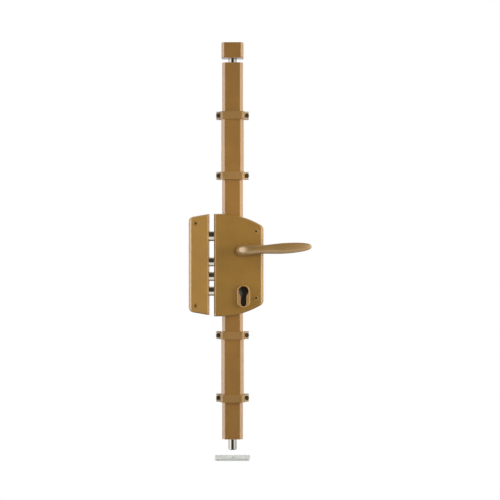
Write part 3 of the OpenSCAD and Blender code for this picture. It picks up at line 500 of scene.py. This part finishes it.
def coverScrews(name, places, node, depth):
    size = crossScrew
    dome = [(size["head"] * cos(radians(a)), depth + size["rim"] + (size["dome"] - size["rim"]) * sin(radians(a))) for a in range(0, 91, 10)]
    shape = bmesh.new()
    cutter = bmesh.new()
    for x, height in places:
        one = bmesh.new()
        lathe(one, [(0, depth - size["length"]), (size["shank"], depth - size["length"]), (size["shank"], depth), (size["head"], depth)] + dome[:-1] + [(0, depth + size["dome"])], 40)
        move(one, one.verts, (x, height, 0))
        scratch = bpy.data.meshes.new("one")
        one.to_mesh(scratch)
        shape.from_mesh(scratch)
        bpy.data.meshes.remove(scratch)
        one.free()
        crossCutter(cutter, x, height, depth + size["dome"], size["cross"], size["slot"], size["sink"])
    bmesh.ops.transform(cutter, matrix=towardsRoom, verts=cutter.verts)
    piece = addPiece(name, shape, casePaint, node, towardsRoom)
    carve(piece, cutter)
    polish(piece)
    piece.data.materials.append(screwSteel)                         # the recess faces take the dark steel: painted shade in the cross recess
    # faces inside the cross recess get the dark steel slot, painting the shade there
    for face in piece.data.polygons:
        x, out, height = face.center.x / mm, -face.center.y / mm, face.center.z / mm
        axis = min((x - atX) ** 2 + (height - at) ** 2 for atX, at in places)
        if axis < 2.4 ** 2 and depth - 2.2 < out < depth + 0.5 * size["dome"]:
            face.material_index = 1
    return piece


caseScrews = coverScrews("caseScrews", caseScrewPlaces, "case_cover_screws", case["depth"])
keeperScrews = coverScrews("keeperScrews", keeperScrewPlaces, "keeper_cover_screws", keeper["depth"])
print("cover screws made")


# --- cylinder rosette

rosette = {"half": 11.1, "top": 10.5, "height": 38.4, "thick": 4, "rim": 1.2}


def rosetteRing(shape, inset, out):
    radius = rosette["half"] - inset
    high = rosette["top"] - rosette["half"]
    low = rosette["top"] - rosette["height"] + rosette["half"]
    return trace(shape, (radius, low), [(radius, high), (0, high, 180, 32), (-radius, low), (0, low, 180, 32)], out)


shape = bmesh.new()
rings = [rosetteRing(shape, 0, case["depth"])]
for a in range(0, 91, 15):
    rings.append(rosetteRing(shape, rosette["rim"] * (1 - cos(radians(a))), case["depth"] + rosette["thick"] - rosette["rim"] * (1 - sin(radians(a)))))
loft(shape, rings, closeBack=True)
rosettePiece = addPiece("cylinderRosette", shape, rosettePaint, "cylinder_rosette", towardsRoom)
cutter = bmesh.new()
face = case["depth"] + rosette["thick"]
loft(cutter, [profileOutline(cutter, 0, case["depth"] - 2), profileOutline(cutter, 0, face - 0.5), profileOutline(cutter, 0.6, face + 0.1)], closeBack=True)
bmesh.ops.transform(cutter, matrix=towardsRoom, verts=cutter.verts)
carve(rosettePiece, cutter)
polish(rosettePiece)
print("rosette made")


# --- lever handle

lever = {"axis": 70, "start": 33.9, "reach": 115, "front": 57, "elbow": 16, "bulge": 2.8, "neck": 18.6, "waist": 14.4,
         "waistAt": 25, "blade": 18.1, "broadAt": 71.3, "thick": 9.5, "rise": 6, "back": 7, "sides": 48}


def ease(share):
    return (1 - cos(pi * min(1, max(0, share)))) / 2


def mix(first, second, share):
    return first + (second - first) * share


def toTip(x):
    return max(0, 1 - ((x - lever["broadAt"]) / (lever["reach"] - lever["broadAt"])) ** 1.8)


def leverHalfHeight(x):
    if x < lever["waistAt"]:
        return mix(lever["neck"], lever["waist"], ease(x / lever["waistAt"])) / 2
    if x < lever["broadAt"]:
        return mix(lever["waist"], lever["blade"], ease((x - lever["waistAt"]) / (lever["broadAt"] - lever["waistAt"]))) / 2
    return lever["blade"] / 2 * toTip(x) ** 0.34


def leverHalfThick(x):
    start = lever["neck"] / 2 - 2.2
    if x < lever["broadAt"]:
        return mix(start, lever["thick"] / 2, ease((x - lever["elbow"]) / (lever["broadAt"] - lever["elbow"])))
    return lever["thick"] / 2 * toTip(x) ** 0.4


def leverRing(shape, x, out, heading, halfHeight, halfThick):
    made = bmesh.ops.create_circle(shape, segments=lever["sides"], radius=1)["verts"]
    bmesh.ops.scale(shape, vec=(halfThick, halfHeight, 1), verts=made)
    # the circle lies across the lever: its x becomes the way out of the blade, its y the height
    bmesh.ops.rotate(shape, cent=(0, 0, 0), matrix=Matrix.Rotation(pi / 2, 3, "X"), verts=made)
    bmesh.ops.rotate(shape, cent=(0, 0, 0), matrix=Matrix.Rotation(radians(heading), 3, "Z"), verts=made)
    rise = lever["rise"] * (max(0, x) / lever["reach"]) ** 1.3
    move(shape, made, (x, -out, lever["axis"] + rise))
    return list({edge for v in made for edge in v.link_edges})


shape = bmesh.new()
elbowOut = lever["front"] - lever["elbow"]
rings = []
for step in range(6):
    share = step / 6
    rings.append(leverRing(shape, 0, lever["start"] + (elbowOut - lever["start"]) * share, 180, lever["neck"] / 2, lever["neck"] / 2 + lever["bulge"] * ease(share)))
for step in range(15):
    share = step / 14
    turn = radians(90 * share)
    rings.append(leverRing(shape, lever["elbow"] * (1 - cos(turn)), elbowOut + lever["elbow"] * sin(turn), 180 + 90 * share,
                           leverHalfHeight(lever["elbow"] * share ** 2),
                           mix(lever["neck"] / 2 + lever["bulge"], lever["neck"] / 2 - 2.2, ease(share))))
for step in range(1, 61):
    share = 1 - (1 - step / 60) ** 2.2                       # closer rings towards the tip
    x = lever["elbow"] + (lever["reach"] - lever["elbow"]) * share
    rings.append(leverRing(shape, x, lever["front"] - lever["back"] * share ** 2, 270, max(0.2, leverHalfHeight(x)), max(0.15, leverHalfThick(x))))
loft(shape, rings, closeBack=True)
leverPiece = addPiece("leverHandle", shape, leverPaint, "handle", sharpAbove=60)
for face in leverPiece.data.polygons:
    face.use_smooth = True
print("lever made")

bush = {"outer": 12.6, "flange": 1.6, "barrel": 11, "bore": 9.1}
shape = bmesh.new()
depth = case["depth"]
lathe(shape, [(bush["bore"], depth - 3), (bush["barrel"], depth - 3), (bush["barrel"], depth), (bush["outer"], depth),
              (bush["outer"], depth + 0.9), (bush["outer"] - 0.3, depth + 1.4), (bush["outer"] - 0.8, depth + 1.6),
              (bush["bore"] + 0.3, depth + 1.6), (bush["bore"], depth + 1.3), (bush["bore"], depth - 3)])
move(shape, shape.verts, (0, lever["axis"], 0))
bushPiece = addPiece("handleBush", shape, casePaint, "handle_bush", towardsRoom)
polish(bushPiece)


# --- bolts

def roundBolt(name, node, height, radius, tip, length, chamfer):
    shape = bmesh.new()
    lathe(shape, [(0, tip), (radius - chamfer - 0.2, tip), (radius - chamfer, tip + 0.1), (radius - 0.15, tip + chamfer), (radius, tip + chamfer + 0.3),
                  (radius, tip + length), (0, tip + length)], 72)
    bmesh.ops.transform(shape, matrix=Matrix.Translation((0, -bolts["depth"], height)) @ alongX, verts=shape.verts)
    return shape


for name, node, height in (("deadboltUpper", "deadbolt_upper", 50), ("deadboltMiddle", "deadbolt_middle", 25), ("deadboltLower", "deadbolt_lower", 0)):
    shape = roundBolt(name, node, height, bolts["radius"], -69.5, 40, 0.8)
    away = bmesh.ops.bisect_plane(shape, geom=shape.verts[:] + shape.edges[:] + shape.faces[:], plane_co=(-47.6, 0, 0), plane_no=(1, 0, 0))
    cutter = bmesh.new()
    block = bmesh.ops.create_cube(cutter, size=1)["verts"]
    bmesh.ops.scale(cutter, vec=(30, 12, 20), verts=block)
    move(cutter, block, (-47.6 + 15, -10.5 + 6, height))
    drumVerts = None
    piece = addPiece(name, shape, boltChrome, node)
    carve(piece, cutter)
    polish(piece)

latch = {"tip": -63.5, "slant": 30, "lip": 2.5, "length": 27.5}
shape = roundBolt("latchBolt", "latch_bolt", bolts["latchHeight"], bolts["latchRadius"], latch["tip"], latch["length"], 0.6)
sliced = bmesh.ops.bisect_plane(shape, geom=shape.verts[:] + shape.edges[:] + shape.faces[:],
                                plane_co=(latch["tip"], -bolts["depth"] - bolts["latchRadius"] + latch["lip"], 0),
                                plane_no=(-cos(radians(latch["slant"])), sin(radians(latch["slant"])), 0), clear_outer=True)
bmesh.ops.edgeloop_fill(shape, edges=[e for e in sliced["geom_cut"] if isinstance(e, bmesh.types.BMEdge)])
tail = bmesh.ops.create_cube(shape, size=1)["verts"]
bmesh.ops.scale(shape, vec=(46, 4, 5.7), verts=tail)
move(shape, tail, (-36.5 + 22.8, -bolts["depth"], 91.5 + 2.85))
latchPiece = addPiece("latchBolt", shape, boltChrome, "latch_bolt")
polish(latchPiece)
print("bolts made")


# --- rods

def rodPiece(name, node, low, high):
    shape = bmesh.new()
    lathe(shape, [(0, low), (7, low), (7, high - 1.2), (6.85, high - 1), (5.9, high - 0.1), (5.7, high), (0, high)] if high > 0 else
          [(0, low), (5.7, low), (5.9, low + 0.1), (6.85, low + 1), (7, low + 1.2), (7, high), (0, high)], 56)
    move(shape, shape.verts, (channelSize["axis"], -10.5, 0))
    piece = addPiece(name, shape, rodChrome, node)
    cutter = bmesh.new()
    lap = bmesh.ops.create_cube(cutter, size=1)["verts"]
    bmesh.ops.scale(cutter, vec=(30, 20, 23.2), verts=lap)
    move(cutter, lap, (channelSize["axis"], -7 + 10, (low + 11.6) if high > 0 else (high - 11.6)))
    carve(piece, cutter)
    polish(piece)
    return piece


upperRod = rodPiece("upperRod", "upper_rod", 122, 415)
lowerRod = rodPiece("lowerRod", "lower_rod", -272, -28)
print("rods made")


# --- rod covers and sleeves

channels = {"upperCoverNear": ("upper_cover_near", 124, 205, 0), "upperSleeve": ("upper_sleeve", 193.75, 304.45, 1),
            "upperCoverFar": ("upper_cover_far", 293.2, 390.9, 0), "lowerCoverNear": ("lower_cover_near", -83.5, -35, 0),
            "lowerSleeve": ("lower_sleeve", -187.25, -72.25, 1), "lowerCoverFar": ("lower_cover_far", -253.6, -176, 0)}


def channelPiece(name, node, low, high, sleeve):
    grow = 1.35 * sleeve
    width, depth = channelSize["width"] + 2 * grow, channelSize["depth"] + grow
    front = channelSize["front"] + 1.2 * sleeve
    slope = (width - front) / 2
    shape = bmesh.new()
    last = shape.verts.new((-width / 2, 0, low))
    for x, out in ((-width / 2, depth - slope), (-front / 2, depth), (front / 2, depth), (width / 2, depth - slope), (width / 2, 0)):
        last = bmesh.ops.extrude_vert_indiv(shape, verts=[last])["verts"][0]
        last.co = (x, -out, low)
    raised = bmesh.ops.extrude_edge_only(shape, edges=shape.edges[:])
    move(shape, [v for v in raised["geom"] if isinstance(v, bmesh.types.BMVert)], (0, 0, high - low))
    folds = [e for e in shape.edges if abs(e.verts[0].co.z - e.verts[1].co.z) > 1 and len(e.link_faces) == 2]
    bmesh.ops.bevel(shape, geom=folds, offset=0.8, offset_type="OFFSET", affect="EDGES", segments=5, profile=0.5, material=-1)
    move(shape, shape.verts, (channelSize["axis"], 0, 0))
    bmesh.ops.recalc_face_normals(shape, faces=shape.faces)
    front = max(shape.faces, key=lambda face: face.calc_area())
    if front.normal.y > 0:
        bmesh.ops.reverse_faces(shape, faces=shape.faces)
    piece = channelObject(name, shape, node)
    sheet = piece.modifiers.new("sheet", "SOLIDIFY")
    sheet.thickness, sheet.offset = channelSize["wall"] * mm, -1
    settle(piece)
    polish(piece, 0.2)
    return piece


def channelObject(name, shape, node):
    bmesh.ops.scale(shape, vec=(mm, mm, mm), verts=shape.verts)
    data = bpy.data.meshes.new(name)
    shape.to_mesh(data)
    shape.free()
    piece = bpy.data.objects.new(name, data)
    bpy.context.scene.collection.objects.link(piece)
    data.materials.append(coverPaint)
    piece["sharpAbove"] = 32
    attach(piece, bodyOf[node])
    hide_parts(node)
    return piece


for name, (node, low, high, sleeve) in channels.items():
    low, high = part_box(node)[0].z / mm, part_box(node)[1].z / mm
    channelPiece(name, node, low, high, sleeve)
print("covers made")


# --- guides

guide = {"long": 13.5, "half": 28.25, "ear": 11, "screws": 24.5, "wall": 1.8, "gap": 0.1, "saddle": 21.35, "recess": 3.8}


def guidePiece(name, node):
    low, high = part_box(node)[0].z / mm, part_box(node)[1].z / mm
    out = (channelSize["width"] + 2.7) / 2 + guide["gap"] + guide["wall"]
    front = (channelSize["front"] + 1.2) / 2 + guide["wall"] * 0.45
    depth = guide["saddle"] + guide["gap"] + guide["wall"]
    shape = bmesh.new()
    ring = trace(shape, (guide["half"], 0), [
        (guide["half"], guide["ear"]), (out, guide["ear"]), (out, depth - out + front), (front, depth - out + front, 90, 10),
        (-front, depth), (-front, depth - out + front, 90, 10), (-out, guide["ear"]), (-guide["half"], guide["ear"]), (-guide["half"], 0)], low)
    flat = bmesh.ops.edgeloop_fill(shape, edges=ring)["faces"]
    raised = bmesh.ops.extrude_face_region(shape, geom=flat)
    move(shape, [v for v in raised["geom"] if isinstance(v, bmesh.types.BMVert)], (0, 0, high - low))
    corners = [e for e in shape.edges if all(abs(abs(v.co.x) - guide["half"]) < 0.01 for v in e.verts) and abs(e.verts[0].co.y - e.verts[1].co.y) > 1]
    bmesh.ops.bevel(shape, geom=corners, offset=1.4, offset_type="OFFSET", affect="EDGES", segments=3, profile=0.5, material=-1)
    rim = [e for e in shape.edges if all(abs(v.co.y - guide["ear"]) < 0.01 and abs(v.co.x) > out - 0.01 for v in e.verts)
           and max(abs(v.co.x) for v in e.verts) > out + 0.01]
    bmesh.ops.bevel(shape, geom=rim, offset=1.2, offset_type="OFFSET", affect="EDGES", segments=3, profile=0.5, material=-1)
    bmesh.ops.transform(shape, matrix=Matrix.Translation((channelSize["axis"], 0, 0)) @ Matrix.Scale(-1, 4, (0, 1, 0)), verts=shape.verts)
    piece = addPiece(name, shape, guidePaint, node)
    cutter = bmesh.new()
    middle = (low + high) / 2
    width = channelSize["width"] + 2.7 + 2 * guide["gap"]
    loft(cutter, [channelWire(cutter, width, channelSize["front"] + 1.3, guide["saddle"] + guide["gap"], low - 5),
                  channelWire(cutter, width, channelSize["front"] + 1.3, guide["saddle"] + guide["gap"], high + 5)], closeBack=True)
    bmesh.ops.transform(cutter, matrix=Matrix.Translation((channelSize["axis"], 0, 0)) @ Matrix.Scale(-1, 4, (0, 1, 0)), verts=cutter.verts)
    carve(piece, cutter)
    cutter = bmesh.new()
    for side in (-1, 1):
        x = channelSize["axis"] + side * guide["screws"]
        drum(cutter, (x, middle, -1), 2.45, 20)
        drum(cutter, (x, middle, guide["ear"] - 3), guide["recess"], 10)
    bmesh.ops.transform(cutter, matrix=towardsRoom, verts=cutter.verts)
    carve(piece, cutter)
    polish(piece, 0.3, 3, 40)
    piece.data.materials.append(earPaint)
    # the ears' front-facing faces take the lighter silver-beige paint
    for face in piece.data.polygons:
        if abs(face.center.x / mm - channelSize["axis"]) > out + 0.3 and face.normal.y < -0.3:
            face.material_index = 1
    return piece


for name, node in (("guideTop", "guide_top"), ("guideUpper", "guide_upper"), ("guideLower", "guide_lower"), ("guideBottom", "guide_bottom")):
    guidePiece(name, node)
print("guides made")


# --- top keeper and floor plate

topKeeper = {"low": 398.2, "high": 424.8, "width": 37.6, "depth": 25, "bevel": 4.5, "wall": 1.5}
shape = bmesh.new()
ring = channelWire(shape, topKeeper["width"], topKeeper["width"] - 2 * topKeeper["bevel"], topKeeper["depth"], topKeeper["low"])
for v in shape.verts:
    v.co.y = max(0, v.co.y)
flat = bmesh.ops.edgeloop_fill(shape, edges=ring)["faces"]
raised = bmesh.ops.extrude_face_region(shape, geom=flat)
move(shape, [v for v in raised["geom"] if isinstance(v, bmesh.types.BMVert)], (0, 0, topKeeper["high"] - topKeeper["low"]))
rear = [f for f in shape.faces if all(abs(v.co.y) < 0.01 for v in f.verts)]
bmesh.ops.delete(shape, geom=rear, context="FACES")
bmesh.ops.transform(shape, matrix=Matrix.Translation((channelSize["axis"], 0, 0)) @ Matrix.Scale(-1, 4, (0, 1, 0)), verts=shape.verts)
folds = [e for e in shape.edges if len(e.link_faces) == 2]
bmesh.ops.bevel(shape, geom=folds, offset=1.0, offset_type="OFFSET", affect="EDGES", segments=4, profile=0.5, material=-1)
bmesh.ops.recalc_face_normals(shape, faces=shape.faces)
front = max(shape.faces, key=lambda face: face.calc_area())
if front.normal.y > 0:
    bmesh.ops.reverse_faces(shape, faces=shape.faces)
capPiece = channelObject("topKeeperCap", shape, "top_keeper_cap")
sheet = capPiece.modifiers.new("sheet", "SOLIDIFY")
sheet.thickness, sheet.offset = topKeeper["wall"] * mm, -1
settle(capPiece)
cutter = bmesh.new()
drum(cutter, (channelSize["axis"], -10.5, topKeeper["low"] - 2), 7.8, 6)
carve(capPiece, cutter)
polish(capPiece)

floorPlate = {"top": -284.6, "thick": 3.5, "halfX": 30, "halfY": 23, "corner": 3, "hole": 7.5, "fixing": 2.25, "atX": 20, "atY": 16.5}
shape = bmesh.new()
block = bmesh.ops.create_cube(shape, size=1)["verts"]
bmesh.ops.scale(shape, vec=(2 * floorPlate["halfX"], 2 * floorPlate["halfY"], floorPlate["thick"]), verts=block)
corners = [e for e in shape.edges if abs(e.verts[0].co.z - e.verts[1].co.z) > 1]
bmesh.ops.bevel(shape, geom=corners, offset=floorPlate["corner"], offset_type="OFFSET", affect="EDGES", segments=5, profile=0.5, material=-1)
move(shape, shape.verts, (channelSize["axis"], -10.5, floorPlate["top"] - floorPlate["thick"] / 2))
floorPiece = addPiece("floorPlate", shape, platePaint, "floor_plate")
cutter = bmesh.new()
drum(cutter, (channelSize["axis"], -10.5, floorPlate["top"] - 10), floorPlate["hole"], 20)
for x in (-1, 1):
    for y in (-1, 1):
        place = (channelSize["axis"] + x * floorPlate["atX"], -10.5 + y * floorPlate["atY"], floorPlate["top"] - 10)
        drum(cutter, place, floorPlate["fixing"], 20)
carve(floorPiece, cutter)
polish(floorPiece, 0.4, 3, 40)
print("top keeper and floor plate made")


# --- guide screws

shape = bmesh.new()
cutter = bmesh.new()
for node in ("guide_top", "guide_upper", "guide_lower", "guide_bottom"):
    middle = (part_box(node)[0].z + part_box(node)[1].z) / 2 / mm
    for side in (-1, 1):
        x = channelSize["axis"] + side * guide["screws"]
        one = bmesh.new()
        head = guide["ear"] - 3
        lathe(one, [(0, 0), (2.25, 0), (2.25, head), (3.5, head), (3.5, head + 1.5), (3.2, head + 1.8), (2.4, head + 2), (0, head + 2)], 32)
        move(one, one.verts, (x, middle, 0))
        scratch = bpy.data.meshes.new("one")
        one.to_mesh(scratch)
        shape.from_mesh(scratch)
        bpy.data.meshes.remove(scratch)
        one.free()
        crossCutter(cutter, x, middle, head + 2, 2.2, 0.5, 1.1)
bmesh.ops.transform(cutter, matrix=towardsRoom, verts=cutter.verts)
guideScrews = addPiece("guideScrews", shape, screwSteel, "guide_screws", towardsRoom)
carve(guideScrews, cutter)
polish(guideScrews)
print("guide screws made")


# --- the works inside, as the frame has them

worksFinish = {"back_plate": zincPlate, "spindle": zincPlate, "handle_grub_screw": screwSteel, "follower": zincPlate,
               "handle_spring": springSteel, "latch_spring": springSteel, "latch_guide": zincPlate, "bolt_carriage": zincPlate,
               "pinion": gearBrass, "pinion_stud": screwSteel, "carriage_stud": screwSteel, "upper_rack_bar": zincPlate,
               "lower_rack_bar": zincPlate, "upper_rod_screw": screwSteel, "lower_rod_screw": screwSteel,
               "rod_bush_top": bushNylon, "rod_bush_upper": bushNylon, "rod_bush_lower": bushNylon, "rod_bush_bottom": bushNylon,
               "keeper_plate": zincPlate, "top_keeper_plate": zincPlate}
for node, finish in worksFinish.items():
    for slot in frame["nodes"][node].material_slots:
        slot.material = finish
print("works finished")


# --- room, light and camera

studio = {"floor": -0.2881, "camera": (0.01105, -2.432, 0.0702), "lens": 101.65, "ambient": 0.42}

floorShape = bmesh.new()
bmesh.ops.create_grid(floorShape, x_segments=1, y_segments=1, size=12)
bmesh.ops.translate(floorShape, vec=(0, 0, studio["floor"]), verts=floorShape.verts)
floorData = bpy.data.meshes.new("floor")
floorShape.to_mesh(floorData)
floorShape.free()
floor = bpy.data.objects.new("floor", floorData)
bpy.context.scene.collection.objects.link(floor)
made, shader = newShader("floorPaper")
seen = shader.node("LightPath", output="Is Camera Ray")
away = shader.node("VectorMath", {"operation": "LENGTH"}, {0: shader.node("TexCoord", output="Object")}, "Value")
paper = shader.node("BsdfDiffuse", values={"Color": shader.blend(seen, (0.2, 0.2, 0.2), (0.85, 0.85, 0.85))})
lit = shader.node("Emission", values={"Color": (1, 1, 1, 1), "Strength": 1.0})
white = seen * (0.75 + 0.25 * away.between(0.03, 0.2))          # the shadow stays near the lock
shader.node("OutputMaterial", values={"Surface": shader.node("MixShader", values={0: white, 1: paper, 2: lit})})
floorData.materials.append(made)
floor.visible_glossy = False                                    # mirrors show the room's white table instead

world = bpy.data.worlds.new("studio")
bpy.context.scene.world = world
world.use_nodes = True
shader = Shader(world.node_tree)
seen = shader.node("LightPath", output="Is Camera Ray")
mirrored = shader.node("LightPath", output="Is Glossy Ray")
way = shader.node("TexCoord", output="Generated")
side, deep, high = (shader.node("SeparateXYZ", values={"Vector": way}, output=axis) for axis in "XYZ")
aside = shader.size(side)
leftwards = 0 - side
# what the bright parts mirror: a dark room in front and overhead, a white table, white walls at the
# sides, black cards beside and below the sweep, and the white sweep behind
front = 1 - deep.between(0.2, 0.35)
dark = front * high.between(-0.38, -0.24) * (1 - aside.between(0.2, 0.75))
cards = deep.between(0.15, 0.3) * (1 - deep.between(0.6, 0.75)) * aside.between(0.5, 0.6)
under = (1 - high.between(-0.52, -0.42)) * deep.between(0, 0.1)
room = (0.85 + 1.1 * aside.between(0.55, 0.8) + 0.9 * leftwards.between(0.5, 0.8)) * (1 - dark) * (1 - cards) * (1 - under) + 0.045
tone = studio["ambient"] + (room - studio["ambient"]) * mirrored
tone = tone + (1 - tone) * seen
light = shader.node("Background", values={"Color": (1, 1, 1, 1), "Strength": tone})
shader.node("OutputWorld", values={"Surface": light})


def softbox(name, width, height, power):
    data = bpy.data.lights.new(name, "AREA")
    data.shape, data.size, data.size_y, data.energy = "RECTANGLE", width, height, power
    return bpy.data.objects.new(name, data)


def aim(lamp, place, target):
    bpy.context.scene.collection.objects.link(lamp)
    lamp.location = place
    lamp.rotation_euler = (Vector(target) - Vector(place)).to_track_quat("-Z", "Y").to_euler()
    lamp.visible_glossy = False


aim(softbox("leftSoftbox", 0.6, 1.6, 13), (-1.6, -0.62, 0.2), (0, 0, 0.07))
aim(softbox("rightSoftbox", 0.6, 1.6, 36), (1.6, -0.55, 0.15), (0, 0, 0.07))
spot = bpy.data.lights.new("frontSpot", "SPOT")                 # brightens the case more than the rod ends
spot.energy, spot.spot_size, spot.spot_blend, spot.shadow_soft_size = 175, radians(13.7), 1, 0.3
aim(bpy.data.objects.new("frontSpot", spot), (0.9, -2.5, 0.5), (0, 0, 0.1))

# a dark sheet behind the cylinder hole: painted shade, so the hole reads dark
shape = bmesh.new()
bmesh.ops.edgeloop_fill(shape, edges=profileOutline(shape, 0.4, -0.4))
bmesh.ops.transform(shape, matrix=towardsRoom, verts=shape.verts)
bmesh.ops.scale(shape, vec=(mm, mm, mm), verts=shape.verts)
cardData = bpy.data.meshes.new("holeShadeCard")
shape.to_mesh(cardData)
shape.free()
card = bpy.data.objects.new("holeShadeCard", cardData)
bpy.context.scene.collection.objects.link(card)
made, shader = newShader("holeShadePaint")
# painted shade: this dark colour stands in for the shade inside the hole
shader.node("OutputMaterial", values={"Surface": shader.node("BsdfDiffuse", values={"Color": (0.42, 0.37, 0.3, 1)})})
cardData.materials.append(made)

cameraData = bpy.data.cameras.new("camera")
cameraData.lens, cameraData.sensor_width = studio["lens"], 36
cameraData.clip_end = 50
camera = bpy.data.objects.new("camera", cameraData)
bpy.context.scene.collection.objects.link(camera)
camera.location = studio["camera"]
camera.rotation_euler = (pi / 2, 0, 0)
bpy.context.scene.camera = camera
bpy.context.scene.view_settings.view_transform = "Standard"
print("studio ready")
